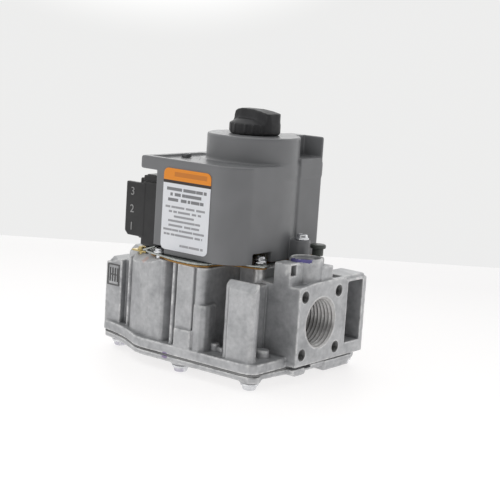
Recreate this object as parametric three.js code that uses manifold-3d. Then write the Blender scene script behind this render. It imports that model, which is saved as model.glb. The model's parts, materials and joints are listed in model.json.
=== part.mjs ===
// Combination gas control valve, 1/2 inch pipe ports, millimetres, +Z up.
//
// Working frame of the drawing below: X = 0 is the machined face of the outlet port, the body lies towards -X and
// the inlet face is at X = -LENGTH; the pipe axis is at Y = PORT_Y, Z = PORT_Z; the label side of the operator
// cover faces -Y. The finished group is moved by FRAME so that its origin is under the middle of the valve, on the
// plane that the bottom cover's screw heads stand on.
import * as THREE from 'three';
import { mergeVertices } from 'three/addons/utils/BufferGeometryUtils.js';
import Module from 'manifold-3d';

const wasm = await Module();
wasm.setup();

// ---------------------------------------------------------------- driving dimensions
const LENGTH = 101.6;            // inlet face to outlet face (4 inches)
const PORT_Y = -6, PORT_Z = -31.7;
const BORE_R = 9.55;             // 1/2-14 NPT tapping, mean minor radius
const BORE_MOUTH_R = 10.65;      // countersunk mouth
const BORE_DEPTH = 20;
const FACE_BOLT = 12.5;          // half of the 25 mm square of tapped holes in each port face
const SEAM_Z = -49.9;            // underside of the body flange
const FLANGE_TOP = -45.6;
const BODY_TOP = -10.0;
const OUT_TOP = -15.0, IN_TOP = -16.4;
const GASKET_T = 0.6, SKIN = 0.1;      // gasket thickness and the assembly gap of stacked flat faces
const COVER_LIP_T = 2.4;
const LUG_BOTTOM = -54.1;        // underside of the bottom cover's screw lugs
const FLOOR_Z = -57.3;           // plane of the screw heads that the valve stands on
const PLATE_Z0 = -9.0, PLATE_Z1 = -8.1; // operator plate, lower and upper face
const COV_FRONT = -41, COV_LEFT = -67, COV_RIGHT = -22.5, COV_BACK = 20.5;
const COV_BOTTOM = -7.9, COV_RIM = 33.4, COV_WALL = 2;
const VISOR_LEFT = -76.2, VISOR_Z = 27.7;
const KNOB_X = -42.2, KNOB_Y = -6;
const BOSS_R = 20.5, BOSS_TOP = 44.9;
const MV_X = -50, MV_Y = -6;     // main valve axis
const TOWER_TOP = -4.4;
const REG_X = -9.1, REG_Y = -7.1; // regulator tower axis
const PILOT_X = -84.6, PILOT_Y = -22; // pilot flow adjuster
const FRAME = [50.8, 3.65, 57.3];

// ---------------------------------------------------------------- helpers
const strip = (g) => {
  const h = g.index ? g.toNonIndexed() : g.clone();
  for (const n of Object.keys(h.attributes)) if (n !== 'position') h.deleteAttribute(n);
  return mergeVertices(h, 1e-4);
};
const solid = (g) => {
  const h = strip(g);
  return new wasm.Manifold(new wasm.Mesh({
    numProp: 3,
    vertProperties: new Float32Array(h.attributes.position.array),
    triVerts: new Uint32Array(h.index.array),
  }));
};
const geometry = (m) => {
  const mesh = m.getMesh();
  const g = new THREE.BufferGeometry();
  const p = new Float32Array(mesh.numVert * 3);
  for (let i = 0; i < mesh.numVert; i++) for (let k = 0; k < 3; k++) p[3 * i + k] = mesh.vertProperties[i * mesh.numProp + k];
  g.setAttribute('position', new THREE.BufferAttribute(p, 3));
  g.setIndex(new THREE.BufferAttribute(new Uint32Array(mesh.triVerts), 1));
  g.computeVertexNormals();
  return g;
};
const union = (first, ...rest) => rest.flat().reduce((a, b) => a.add(b), first);
const cut = (first, ...rest) => rest.flat().reduce((a, b) => a.subtract(b), first);
const box = (x0, x1, y0, y1, z0, z1) => {
  const g = new THREE.BoxGeometry(x1 - x0, y1 - y0, z1 - z0);
  g.translate((x0 + x1) / 2, (y0 + y1) / 2, (z0 + z1) / 2);
  return solid(g);
};
// upright round bar or cone about (x, y)
const barZ = (x, y, r0, z0, z1, n = 24, r1 = r0) => {
  const g = new THREE.CylinderGeometry(r1, r0, z1 - z0, n);
  g.rotateX(Math.PI / 2);
  g.translate(x, y, (z0 + z1) / 2);
  return solid(g);
};
const barX = (y, z, r0, x0, x1, n = 24, r1 = r0) => {
  const g = new THREE.CylinderGeometry(r1, r0, x1 - x0, n);
  g.rotateZ(-Math.PI / 2);
  g.translate((x0 + x1) / 2, y, z);
  return solid(g);
};
const barY = (x, z, r0, y0, y1, n = 24, r1 = r0) => {
  const g = new THREE.CylinderGeometry(r1, r0, y1 - y0, n);
  g.translate(x, (y0 + y1) / 2, z);
  return solid(g);
};
// plan outline [x, y] pulled up from z0 to z1
const prism = (pts, z0, z1) => {
  const s = new THREE.Shape(pts.map(([x, y]) => new THREE.Vector2(x, y)));
  const g = new THREE.ExtrudeGeometry(s, { depth: z1 - z0, bevelEnabled: false });
  g.translate(0, 0, z0);
  return solid(g);
};
// body of revolution about the upright line through (x, y); profile is [r, z]
const turned = (x, y, profile, n = 24) => {
  const g = new THREE.LatheGeometry(profile.map(([r, z]) => new THREE.Vector2(r, z)), n);
  g.rotateX(Math.PI / 2);
  g.translate(x, y, 0);
  const m = solid(g);
  return m;
};
const arc = (cx, cy, r, a0, a1, n) => {
  const out = [];
  for (let i = 0; i <= n; i++) {
    const a = THREE.MathUtils.degToRad(a0 + (a1 - a0) * i / n);
    out.push([cx + r * Math.cos(a), cy + r * Math.sin(a)]);
  }
  return out;
};
const ring = (x, y, ro, ri, z0, z1, n = 24) => cut(barZ(x, y, ro, z0, z1, n), barZ(x, y, ri, z0 - 1, z1 + 1, n));
// compression spring about (0, 0), from z = 0 to z = length, wire radius w, coil radius r
class Helix extends THREE.Curve {
  constructor(r, length, turns, w) { super(); Object.assign(this, { r, length, turns, w }); }
  getPoint(t, p = new THREE.Vector3()) {
    const a = 2 * Math.PI * this.turns * t;
    const z = this.w + (this.length - 2 * this.w) * t;
    return p.set(this.r * Math.cos(a), this.r * Math.sin(a), z);
  }
}
const spring = (r, length, turns, w) => {
  const s = new THREE.Shape(arc(0, 0, w, 0, 288, 4).map(([x, y]) => new THREE.Vector2(x, y)));
  const g = new THREE.ExtrudeGeometry(s, { steps: Math.round(turns * 8), extrudePath: new Helix(r, length, turns, w), bevelEnabled: false });
  const m = solid(g);
  return m;
};

const group = new THREE.Group();
const paint = (color, roughness, metalness) => new THREE.MeshStandardMaterial({ color, roughness, metalness });
const CAST = paint(0xa9abae, 0.5, 0.85), ZINC = paint(0xc4c8cc, 0.35, 0.9), STEEL = paint(0x9a9ca0, 0.35, 0.9);
const GREY = paint(0x7d7f82, 0.55, 0), BLACK = paint(0x2b2b2c, 0.5, 0), RUBBER = paint(0x1d1d1d, 0.8, 0);
const FIBRE = paint(0xa6783a, 0.9, 0), GOLD = paint(0xb79a4a, 0.4, 0.9), COPPER = paint(0xb06a3a, 0.35, 0.9);
const PAPER = paint(0xe4e6e9, 0.5, 0), CREAM = paint(0xd9cfae, 0.6, 0);
const put = (name, m, material, at = [0, 0, 0]) => {
  const g = m.isBufferGeometry ? m : geometry(m);
  const mesh = new THREE.Mesh(g, material);
  mesh.name = name;
  mesh.position.set(...at);
  group.add(mesh);
  return mesh;
};

// ---------------------------------------------------------------- valve body casting
const FLANGE = [
  [-LENGTH, -31.5], [-100.2, -33.4], [-95, -34.6], [-81, -39.2], [-72, -44.2], [-66, -45.9], [-12, -45.9],
  [-7.6, -45.2], [-5.1, -42.6], [-5, -30], [-5, 27], [-5.6, 30.6], [-8.4, 33], [-12, 33.5], [-66, 33.5],
  [-73, 31], [-84, 23], [-95, 17], [-LENGTH, 15.5],
];
const inset = (dx) => FLANGE.map(([x, y]) => [x < -90 ? x + dx : x > -10 ? x - dx : x, y < -25 ? y + dx : y > 12 ? y - dx : y]);

// front and back walls: round columns, ribs and grooves between the flange and the top
const WALL = [
  [-93.0, -26], [-91.6, -29.0], [-88.8, -29.8], [-87.7, -33.0], [-86.9, -34.2], [-86.1, -33.4], [-85.4, -32.4], [-84.7, -32.8], [-83.4, -35.4],
  [-80.5, -37.7], [-77.0, -39.4], [-72.0, -41.0], [-65.4, -43.2], [-58.9, -43.5], [-57.6, -42.8],
  [-56.6, -40.6], [-55.8, -38.4], [-54.6, -38.2], [-53.8, -40.6], [-53.2, -43.0], [-52.4, -43.7], [-51.5, -43.4], [-50.9, -42.0],
  [-50.3, -42.2], [-49.9, -44.0], [-40.6, -44.1], [-40.2, -43.1], [-39.8, -43.1], [-39.3, -43.9], [-37.8, -44.4], [-36.2, -44.1],
  [-35.1, -43.0], [-34.6, -41.4], [-34.6, -24], [-33.8, -20.6], [-21.4, -20.6], [-21.4, -10], [-20, 0], [-22, 20],
  [-26, 28.6], [-31, 31.6], [-38, 32.4], [-40, 29.8], [-42, 29.8], [-44, 32.2], [-54, 32.2], [-56, 29.8], [-58, 29.8],
  [-60, 32.0], [-67, 31.2], [-75, 27.4], [-82, 22.2], [-88, 19.0], [-92, 17.0], [-93, 12],
];
const COLUMN = [
  [-22.8, -33], [-23.6, -36], [-23.8, -42.4], [-23.0, -43.3], [-21.6, -43.9], [-21.2, -43.6], [-20.8, -44.3], [-8.6, -44.4], [-7.6, -43.9],
  [-7.2, -42.9], [-7.3, -40.8], [-8.1, -38.9], [-10, -37.4], [-13.4, -35.6], [-17.4, -33.2], [-17.4, -31],
];
// sloping shoulder at the ground corner: everything above this slab's underside is cast away
const shoulder = (() => {
  const z = (x, y) => -14.3 + (0.313 * (x + 86.6) + 0.525 * (y + 33.8)) / 0.791;
  const c = [[-98, -36], [-84, -44], [-60, -52], [-52, -44], [-64, -26], [-98, -14]];
  return prism(c, 0, 1).warp((v) => { v[2] = v[2] > 0.5 ? 6 : Math.min(z(v[0], v[1]), 5); });
})();
const bodyBlocks = union(
  prism(FLANGE, SEAM_Z, FLANGE_TOP),
  cut(prism(WALL, FLANGE_TOP - 1, BODY_TOP), shoulder, box(-99, -74.6, -42, -28.4, -10.9, 0)),
  box(-LENGTH, -92.1, -32.8, 15.0, SEAM_Z, IN_TOP), box(-92, -80, -29.8, 15.0, SEAM_Z, IN_TOP),                    // inlet port block
  box(-22, 0, -22.7, 28.2, -49.2, OUT_TOP), box(-9.5, 0, -23.2, -22, -49.2, -47.4),                          // outlet port block
  // round-cornered column beside the outlet block, with a sloping shoulder, and the wall that joins it to the block
  cut(prism(COLUMN, FLANGE_TOP - 1, -12.4),
    prism([[-46.4, -17.8], [-40.6, -12.4], [-40.6, -11], [-46.4, -11]], -30, 0).rotate([90, 0, 90]),
    box(-30, 0, -40.0, -20, -16.3, -10)),
  box(-22.6, -17.4, -36, -21, FLANGE_TOP - 1, -16.3),
  box(-48.9, -39.5, -45.4, -43.5, FLANGE_TOP - 0.5, -37.6),          // pad at the foot of the flat panel
  prism([[-39.6, -44.2], [-37.6, -45.0], [-35.4, -44.8], [-33.6, -43.2], [-32.8, -41.0], [-33.4, -36], [-39.6, -36]],
    FLANGE_TOP - 0.5, -25.8),                                         // thicker foot of the round column
  barZ(-32.6, -36.6, 2.2, FLANGE_TOP - 0.5, -42.4, 10), box(-30.2, -27.8, -37.6, -35.2, FLANGE_TOP - 0.5, -43.8),               // small bosses on the flange
  barZ(-12.8, -29.4, 3.0, FLANGE_TOP - 0.5, -42.4, 12),
  // regulator tower, its side block and step on top of the outlet block
  barZ(REG_X, REG_Y, 7.3, OUT_TOP - 1, TOWER_TOP - 1.2, 28), barZ(REG_X, REG_Y, 7.3, TOWER_TOP - 1.6, TOWER_TOP, 28, 6.6),
  box(-14.6, -5.6, -22.7, -8, OUT_TOP - 1, -5.6),
  box(-6.6, -1.2, -6, 2.8, OUT_TOP - 1, -7.8),
  box(-14, -1.0, 11.8, 27.8, OUT_TOP - 1, -13.6),
  prism([[-22, -17], [-22, -15], [-10, -13.8], [12, -13.7], [12, -17]], -2.6, 0).rotate([90, 0, 90]), // raised rim behind the outlet face
  barZ(-22.9, -21.4, 2.5, -20, -9.4, 16),                             // column of the right plate screw
  barZ(-16.2, 11.6, 3.2, OUT_TOP - 1, -7.4, 16),                      // seat of the vent
  box(-21.8, -14.8, -1.8, 5.0, OUT_TOP - 1, -8.6),                    // pad of the cover lug screw
  // back: pilot outlet boss and a flat panel
  barY(-60, -24, 7.5, 26, 34.5, 24),
);
const faceHoles = (x0, x1) => [[-1, -1], [1, -1], [1, 1], [-1, 1]]
  .map(([a, b]) => barX(PORT_Y + a * FACE_BOLT, PORT_Z + b * FACE_BOLT, 2.0, x0, x1, 8));
const BOTTOM_SCREWS = [
  [-95.6, -27.5], [-47.5, -40.6], [-10.2, -40.2], [-9.6, 28.0], [-48.5, 28.2], [-94.8, 9.6],
];
const PLATE_SCREWS = [[-64.0, -39.4], [-22.9, -21.4], [-70, 24]];
const UP_Z0 = -29, UP_Z1 = -19.6, LOW_Z0 = -46.2, LOW_Z1 = -31.6, PLUG_FLOOR = -17.4;
let body = cut(bodyBlocks,
  // tapped ports with their countersunk mouths
  barX(PORT_Y, PORT_Z, BORE_R + 0.2, -BORE_DEPTH, 1, 28, BORE_R + 0.8),
  barX(PORT_Y, PORT_Z, BORE_R, -1.4, 0.01, 28, BORE_MOUTH_R + 0.05),
  barX(PORT_Y, PORT_Z, BORE_R + 0.8, -LENGTH - 1, -LENGTH + BORE_DEPTH, 28, BORE_R + 0.2),
  barX(PORT_Y, PORT_Z, BORE_MOUTH_R + 0.05, -LENGTH - 0.01, -LENGTH + 1.4, 28, BORE_R),
  faceHoles(-9, 1), faceHoles(-LENGTH - 1, -LENGTH + 9),
  // weight-saving pockets in the port blocks
  box(-12, 1, 13.6, 25.4, -43.6, -16.2),
  box(-LENGTH - 1, -LENGTH + 6, 9.4, 13.0, -43.6, -20),
  // gas ways: inlet riser, shut-off plug pocket, upper chamber, seat hole, lower chamber, outlet way
  box(-LENGTH + BORE_DEPTH - 1, -78.4, -12, 0, -38, -12.6),
  box(-80, KNOB_X, -10.5, -1.5, PLUG_FLOOR, -12.6),
  barZ(KNOB_X, KNOB_Y, 10.4, PLUG_FLOOR, BODY_TOP + 1, 24),
  barZ(KNOB_X, KNOB_Y, 4.5, UP_Z1 - 0.5, PLUG_FLOOR + 0.5, 16),
  barZ(MV_X, MV_Y, 17, UP_Z0, UP_Z1, 24),
  barZ(MV_X, MV_Y, 8.0, LOW_Z1 - 0.5, UP_Z0 + 0.5, 20),
  barZ(MV_X, MV_Y, 20, LOW_Z0, LOW_Z1, 24),
  box(-34, -19, -14.5, 2.5, -41, LOW_Z1),
  barZ(MV_X, MV_Y, 24, SEAM_Z - 1, LOW_Z0 + 0.5, 24),                  // diaphragm chamber
  // regulator bore in the tower, plunger wells, slot beside the tower
  barZ(REG_X, REG_Y, 5.9, -16.6, -4, 24),
  barZ(REG_X, REG_Y, 6.1, -6.0, -4, 24),
  barZ(-45, -27, 4.6, -14.2, BODY_TOP + 1, 16),
  barZ(-53.5, 9.6, 4.6, -14.2, BODY_TOP + 1, 16),
  box(-8.2, -4.2, -22.2, -18.6, -10.7, -6.4),
  // pilot adjuster well on the top, inlet end
  barZ(PILOT_X, PILOT_Y, 3.2, -17.5, BODY_TOP + 1, 16),
  barY(-60, -24, 4.2, 28, 36, 20),                                     // pilot outlet
  barZ(-16.2, 11.6, 1.6, -14, -6, 10),
  // tapped holes for the screws
  BOTTOM_SCREWS.map(([x, y]) => barZ(x, y, 1.75, SEAM_Z - 1, SEAM_Z + 9, 8)),
  PLATE_SCREWS.map(([x, y]) => barZ(x, y, 1.65, -17, -8, 8)),
  barZ(-80.8, -32.2, 1.3, -14.8, BODY_TOP + 1, 10),                      // ground screw
  barZ(-18.2, 1.6, 1.65, -14.4, -8, 8),                                  // cover lug screw
  // pressure tap wells in the back of the port blocks
  barY(-11, -30, 3.4, 25.2, 29, 16),
  barY(-90, -30, 3.4, 11, 16, 16),
);
body = union(body, [[-45, -27], [-53.5, 9.6]].map(([x, y]) => ring(x, y, 2.3, 1.0, -14.4, -12.6, 16)));
put('valve_body', body, CAST);

// ---------------------------------------------------------------- bottom gasket, diaphragm and bottom cover
const G1 = SEAM_Z - SKIN, G0 = G1 - GASKET_T, C1 = G0 - SKIN;
const screwHoles = (r, list = BOTTOM_SCREWS, z0 = -70, z1 = 10) => list.map(([x, y]) => barZ(x, y, r, z0, z1, 8));
put('bottom_gasket', cut(prism(inset(0.4), G0, G1), barZ(MV_X, MV_Y, 26.2, G0 - 1, G1 + 1, 28), screwHoles(2.2)), RUBBER);
// domed rubber diaphragm clamped inside the gasket
put('servo_diaphragm', turned(MV_X, MV_Y, [
  [0, G0 + 1.75], [13, G0 + 1.75], [16.5, G0 + 2.1], [20.5, G0 + 1.6], [22.5, G0], [25.8, G0], [25.8, G1], [22.8, G1],
  [20.8, G1 + 1.7], [16.5, G1 + 2.3], [13, G1 + 1.9], [0, G1 + 1.9]], 24), RUBBER);
const lug = (x, y, r) => barZ(x, y, r, LUG_BOTTOM, C1 - 0.5, 16);
const COVER_OUTLINE = [...inset(0.3).slice(0, 9), [-4.8, -22.0], [-1.8, -21.6], [-1.8, -12.2], [-3.2, -11.8], [-3.2, 3], [-2.6, 3.4],
  [-2.6, 24.4], [-5.3, 26.8], ...inset(0.3).slice(11)];
put('bottom_cover', cut(union(
  prism(COVER_OUTLINE, C1 - COVER_LIP_T, C1),
  BOTTOM_SCREWS.map(([x, y], i) => lug(x, y, i === 2 ? 4.6 : 4.3)),
  prism([[-3.4, 3.6], [-3.0, 3.6], [-3.0, 22.4], [-12, 22.4], [-12, 3.6]], -55.4, C1 - 1),
  prism([[-2.2, -19.4], [-2.2, -12.6], [-10, -12.6], [-10, -19.4]], -54.0, C1 - 1),
  barZ(MV_X, MV_Y, 26.5, -56.6, C1 - 1, 28, 28.5),
  box(-80, -60, -30, -18, -55.0, C1 - 1),
), barZ(MV_X, MV_Y, 23.5, -54.6, C1 + 1, 24),
screwHoles(2.3),
box(-9, 1, -13, -6.5, C1 - 1.2, C1 + 1)), CAST);
// washer-head screws with a six-lobe style recess, shank up
const SOCKET = barZ(0, 0, 1.5, -0.1, 1.5, 6);
const screw = (headR, headH, shankR, shankL) => cut(union(
  turned(0, 0, [[0, 0], [headR * 0.66, 0], [headR * 0.78, headH * 0.35], [headR * 0.8, headH * 0.62], [headR, headH * 0.66], [headR, headH], [0, headH]], 14),
  barZ(0, 0, shankR, headH - 0.2, headH + shankL, 8)), SOCKET);
BOTTOM_SCREWS.forEach(([x, y], i) =>
  put(`cover_screw_${i + 1}`, screw(3.9, LUG_BOTTOM - SKIN - FLOOR_Z, 1.6, 9.8), ZINC, [x, y, FLOOR_Z]));

// ---------------------------------------------------------------- operator gasket, plate and its screws
const PLATE = [[-66.0, -41.6], [-59.5, -42.9], [-54, -44.2], [-49, -45.1], [-45, -45.2], [-41, -44.7], [-37.6, -43.3], [-35.3, -40.6], [-34.3, -36],
  [-33.2, -31], [-31.2, -29.4], [-28.2, -28.5], [-23.6, -27.5], [-19.6, -26.4], [-17.8, -25], [-17.4, -22.8], [-18.4, -20.2], [-20.6, -18.4], [-25.2, -17.4], [-27.4, -15.4], [-27.4, 24],
  [-31, 28.4], [-70, 28.0], [-75.4, 23.4], [-76.8, -34.4], [-72.0, -39.6]];
const OPENINGS = [
  barZ(KNOB_X, KNOB_Y, 4.6, -20, 0, 20), barZ(-45, -27, 4.35, -20, 0, 20), barZ(-53.5, 9.6, 4.35, -20, 0, 20),
];
put('operator_gasket', cut(prism(PLATE.map(([x, y]) => [x < -60 ? x + 2.5 : x > -35 && y < -18 ? x - 1.2 : x, x < -56 ? y + 0.6 : y < -40 ? y + 0.2 : y]), BODY_TOP + SKIN, PLATE_Z0 - SKIN),
  barZ(-22.9, -21.4, 3.3, -20, 0, 16), barZ(KNOB_X, KNOB_Y, 9.9, -20, 0, 24), barZ(-45, -27, 4.6, -20, 0, 20), barZ(-53.5, 9.6, 4.6, -20, 0, 20),
  PLATE_SCREWS.map(([x, y]) => barZ(x, y, 2.0, -20, 0, 12)), box(-90, -73.6, -42, -30, -20, 0)), FIBRE);
put('mounting_plate', cut(union(prism(PLATE, PLATE_Z0, PLATE_Z1),
  // small bent tab at the front corner
  prism([[-74.6, PLATE_Z1 - 0.5], [-73.0, PLATE_Z1 - 0.5], [-66.8, -5.95], [-66.8, -5.4], [-73.4, -7.7]], 37.9, 39.9)
    .rotate([90, 0, 0])), OPENINGS,
PLATE_SCREWS.map(([x, y]) => barZ(x, y, 1.9, -20, 0, 12)), box(-90, -73.9, -42.3, -29.7, -20, 0)), ZINC);
const capScrew = (headR, headH, shankR, shankL) => cut(union(
  turned(0, 0, [[0, -shankL], [shankR, -shankL], [shankR, 0], [headR, 0], [headR, headH * 0.3], [headR * 0.8, headH * 0.4], [headR * 0.74, headH * 0.8], [headR * 0.5, headH], [0, headH]], 14)),
barZ(0, 0, 1.15, headH - 1.1, headH + 1, 6));
PLATE_SCREWS.forEach(([x, y], i) => put(`plate_screw_${i + 1}`, capScrew(2.8, i === 1 ? 3.1 : 2.0, 1.45, 6.6), ZINC, [x, y, PLATE_Z1 + SKIN]));

// ---------------------------------------------------------------- moulded operator cover
const coverOutline = (o) => [
  [COV_LEFT + o, COV_FRONT + o], ...arc(-34.4, -28.5, 12.5 - o, -90, -10, 7), [-21.4 - o, -19], [-21.3 - o, -10], [-22.0 - o, -3], [-23.2 - o, 2.6], [COV_RIGHT - o, 3.0],
  [COV_RIGHT - o, COV_BACK - 1.5 - o], [COV_RIGHT - 1.5 - o, COV_BACK - o], [COV_LEFT + o, COV_BACK - o],
];
const visor = [[VISOR_LEFT, COV_FRONT], [COV_LEFT + 4, COV_FRONT], [COV_LEFT + 4, 8], [VISOR_LEFT, 8]];
const bossTop = (r, z0, z1) => barZ(KNOB_X, KNOB_Y, r, z0, z1, 40);
const coverOuter = cut(union(
  prism(coverOutline(0), COV_BOTTOM, COV_RIM),
  prism(visor, VISOR_Z, COV_RIM),
  bossTop(BOSS_R, COV_RIM - 0.5, BOSS_TOP),
  // arm from the boss to the back corner
  prism([[KNOB_X, 3.0], [COV_RIGHT, 3.0], [COV_RIGHT, COV_BACK - 1.5], [COV_RIGHT - 1.5, COV_BACK], [KNOB_X, COV_BACK]], COV_RIM - 0.5, BOSS_TOP),
  // lug that holds the cover down
  prism([[COV_RIGHT - 3, -2.3], ...arc(-18.2, 1.6, 3.9, -90, 90, 12), [COV_RIGHT - 3, 5.5]], COV_BOTTOM, 0.9),
),
// notch in the arm
box(-32.6, COV_RIGHT + 1, 2.2, 18.6, 35.8, BOSS_TOP + 1).subtract(bossTop(BOSS_R, 30, 50)),
// shallow recess in the front deck
prism([[-72.6, -37.4], [-49.5, -37.4], [-52, -31], [-63.5, -16], [-66, -4], [-72.6, -4]], COV_RIM - 1.1, COV_RIM + 1));
const inner = coverOutline(COV_WALL);
put('operator_cover', cut(coverOuter,
  prism(inner, COV_BOTTOM - 1, COV_RIM - 2.2),
  bossTop(BOSS_R - 2, COV_RIM - 3, BOSS_TOP - 2),
  barZ(KNOB_X, KNOB_Y, 6.3, BOSS_TOP - 4, BOSS_TOP + 1, 24),          // knob shaft opening
    box(-29, -20, -28.2, -15.8, COV_BOTTOM - 1, -3.4),                   // cut-out over the right plate screw
  box(COV_LEFT - 1, -60.6, COV_FRONT - 1, -35.6, COV_BOTTOM - 1, -4.6), // cut-out over the left plate screw
  box(COV_LEFT - 1, COV_LEFT + 3, -33.5, -8, -5.0, 24.2),              // window for the terminal block
  barZ(-18.2, 1.6, 1.7, -12, 3, 12),
  // vents in the back wall
  [0, 1, 2].map((i) => box(-58 + i * 9, -53 + i * 9, COV_BACK - 3, COV_BACK + 1, 6, 22)),
), GREY);
put('deck_button', cut(box(-70.1, -66.9, -21.8, -18.2, COV_RIM - 1.0, COV_RIM + 0.6), barZ(-68.5, -20, 1.1, COV_RIM - 0.1, COV_RIM + 2, 10)), BLACK);
put('lug_screw', capScrew(3.1, 2.5, 1.4, 14.2), ZINC, [-18.2, 1.6, 1.0]);

// ---------------------------------------------------------------- notice label on the front of the cover
const rounded = (x0, x1, y0, y1, r, n = 4) => [...arc(x1 - r, y1 - r, r, 0, 90, n), ...arc(x0 + r, y1 - r, r, 90, 180, n),
  ...arc(x0 + r, y0 + r, r, 180, 270, n), ...arc(x1 - r, y0 + r, r, 270, 360, n)];
const LABEL = { x0: -62.5, x1: -36.2, z0: -5.6, z1: 29.7 };
put('notice_label', prism(rounded(LABEL.x0, LABEL.x1, LABEL.z0, LABEL.z1, 2.6), 0, 0.22)
  .rotate([90, 0, 0]).translate([0, COV_FRONT - 0.06, 0]), PAPER);

// ---------------------------------------------------------------- terminal block, blades and ground tab
put('terminal_block', union(
  box(-79.2, COV_LEFT - 0.3, -35.4, -9, -6.8, 24.0), box(-78.0, COV_LEFT - 0.3, -37.0, -30, -6.8, 21.4),
  box(-77.4, COV_LEFT - 0.3, -35.4, -9, 20, 24.6), box(-70.2, COV_LEFT - 0.3, -35.4, -9, 20, 27.3),
  box(COV_LEFT - 1, COV_LEFT + 6, -33.2, -8.3, -4.4, 23.9),             // tongue through the cover's window
  box(-87.6, -76.4, -37.2, -34.9, -3.4, 20.5),                          // marked plate
  box(-81.4, -79, -34.9, -9, 19.0, 22.6),
  box(-81.4, -79, -34.9, -9, -4.4, -1.6),
).subtract(union(...[16.2, 8.4, 0.6].map((z) => box(-80, -70, -27.2, -20.2, z - 0.7, z + 0.7)))), BLACK);
[16.2, 8.4, 0.6].forEach((z, i) => put(`terminal_blade_${i + 1}`, union(
  box(-86.6, -70.6, -26.85, -20.55, z - 0.4, z + 0.4)).subtract(barZ(-84.2, -23.7, 0.8, z - 1, z + 1, 10)), GOLD));
const TAB_Z0 = -10.9 + SKIN, TAB_Z1 = TAB_Z0 + 0.8;
put('ground_tab', cut(prism([[-85.6, -34.0], [-76.8, -34.4], [-76.8, -30.2], [-85.6, -29.8]], TAB_Z0, TAB_Z1),
  barZ(-80.8, -32.2, 1.7, -12, -6, 12)), GOLD);
put('ground_screw', capScrew(2.2, 1.5, 1.15, 4.4), GOLD, [-80.8, -32.2, TAB_Z1 + SKIN]);

// ---------------------------------------------------------------- solenoids
const solenoid = (name, x, y, r, top) => {
  const z0 = PLATE_Z1 + SKIN, zb = z0 + 1.2, zt = top;
  put(`${name}_coil_frame`, cut(union(
    box(x - r - 1.4, x + 6.2, y - 6, y + 6, z0, zb),
    box(x - r - 1.4, x + 6.2, y - 6, y + 6, zt, zt + 1.2),
    box(x - r - 1.4, x - r - 0.2, y - 6, y + 6, z0, zt + 1.2)), barZ(x, y, 4.5, z0 - 1, zt + 2, 20)), ZINC);
  const b0 = zb + SKIN, b1 = zt - SKIN;
  put(`${name}_coil_bobbin`, cut(union(barZ(x, y, r, b0, b0 + 1, 20), barZ(x, y, r, b1 - 1, b1, 20), barZ(x, y, 5.5, b0, b1, 16)),
    barZ(x, y, 4.7, b0 - 1, b1 + 1, 16)), BLACK);
  put(`${name}_coil_winding`, ring(x, y, r - 0.5, 5.8, b0 + 1.2, b1 - 1.2, 20), COPPER);
  // closed core tube with its fixed pole inside the top
  put(`${name}_core_tube`, turned(x, y, [[3.85, -8.9], [4.25, -8.9], [4.25, zt + 2.4], [0, zt + 2.4], [0, 6.0], [3.85, 6.0], [3.85, -8.9]], 24), STEEL);
  put(`${name}_plunger`, turned(x, y, [[0, -11.5], [3.0, -11.5], [3.5, -11.0], [3.5, 4.8], [2.4, 4.8], [2.4, 0.4], [0, 0.4]], 20), STEEL);
  put(`${name}_plunger_seat`, turned(x, y, [[0, -12.5], [2.7, -12.5], [2.7, -11.6], [0, -11.6]], 16), RUBBER);
  put(`${name}_plunger_spring`, spring(1.75, 5.3, 3.5, 0.28), STEEL, [x, y, 0.55]);
};
solenoid('main', -45, -27, 10.2, 17.4);
solenoid('pilot', -53.5, 9.6, 8.4, 15.4);

// ---------------------------------------------------------------- knob, shaft and shut-off plug
const K0 = BOSS_TOP + 0.3;
const KNOB_R = 10.9;
const knobRib = (a) => box(KNOB_R - 0.6, KNOB_R + 0.3, -0.6, 0.6, K0 + 0.8, K0 + 4.4).rotate([0, 0, a]);
// grip bar along X: high in the middle, wide at the +X end, narrow at the pointer end
const bar = prism([[-10.6, K0 + 2], [10.9, K0 + 2], [10.9, 54.4], [1.5, 56.0], [-5.4, 56.0], [-9.9, 54.6], [-10.4, 52.6]], -5.4, 5.4).rotate([90, 0, 0])
  .intersect(prism([[-10.8, -2.0], [-6, -3.4], [0, -4.4], [5, -5.4], [11.2, -5.4], [11.2, 5.4], [5, 5.4], [0, 4.4], [-6, 3.4], [-10.8, 2.0]], K0, 60))
  .intersect(barZ(0, 0, 11.4, K0, 60, 28));
put('knob', cut(union(
  barZ(0, 0, KNOB_R, K0, K0 + 4.6, 28),
  barZ(0, 0, KNOB_R, K0 + 4.6, K0 + 6.4, 28, KNOB_R - 3.6),
  bar,
  [-75, -57, -39, 39, 57, 75, 105, 123, 141, 159, 201, 219, 237, 255].map(knobRib)),
barZ(0, 0, 3.75, K0 - 1, 52.2, 16), barZ(0, 0, 8.4, K0 - 1, K0 + 1.2, 20)), BLACK, [KNOB_X, KNOB_Y, 0]);
const SHAFT_Z0 = -10.4;
put('knob_shaft', cut(union(barZ(0, 0, 3.5, SHAFT_Z0, 52.0, 20), box(-2.6, 2.6, -0.9, 0.9, SHAFT_Z0 - 1.7, SHAFT_Z0 + 1)),
  box(2.2, 5, -5, 5, 46.5, 53)), STEEL, [KNOB_X, KNOB_Y, 0]);
put('shaft_seal', ring(0, 0, 4.5, 3.6, PLATE_Z0 + 0.05, PLATE_Z1 - 0.05, 20), RUBBER, [KNOB_X, KNOB_Y, 0]);
put('shaft_bushing', ring(0, 0, 6.6, 3.75, PLATE_Z1 + SKIN, -3.4, 20), GOLD, [KNOB_X, KNOB_Y, 0]);
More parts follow.
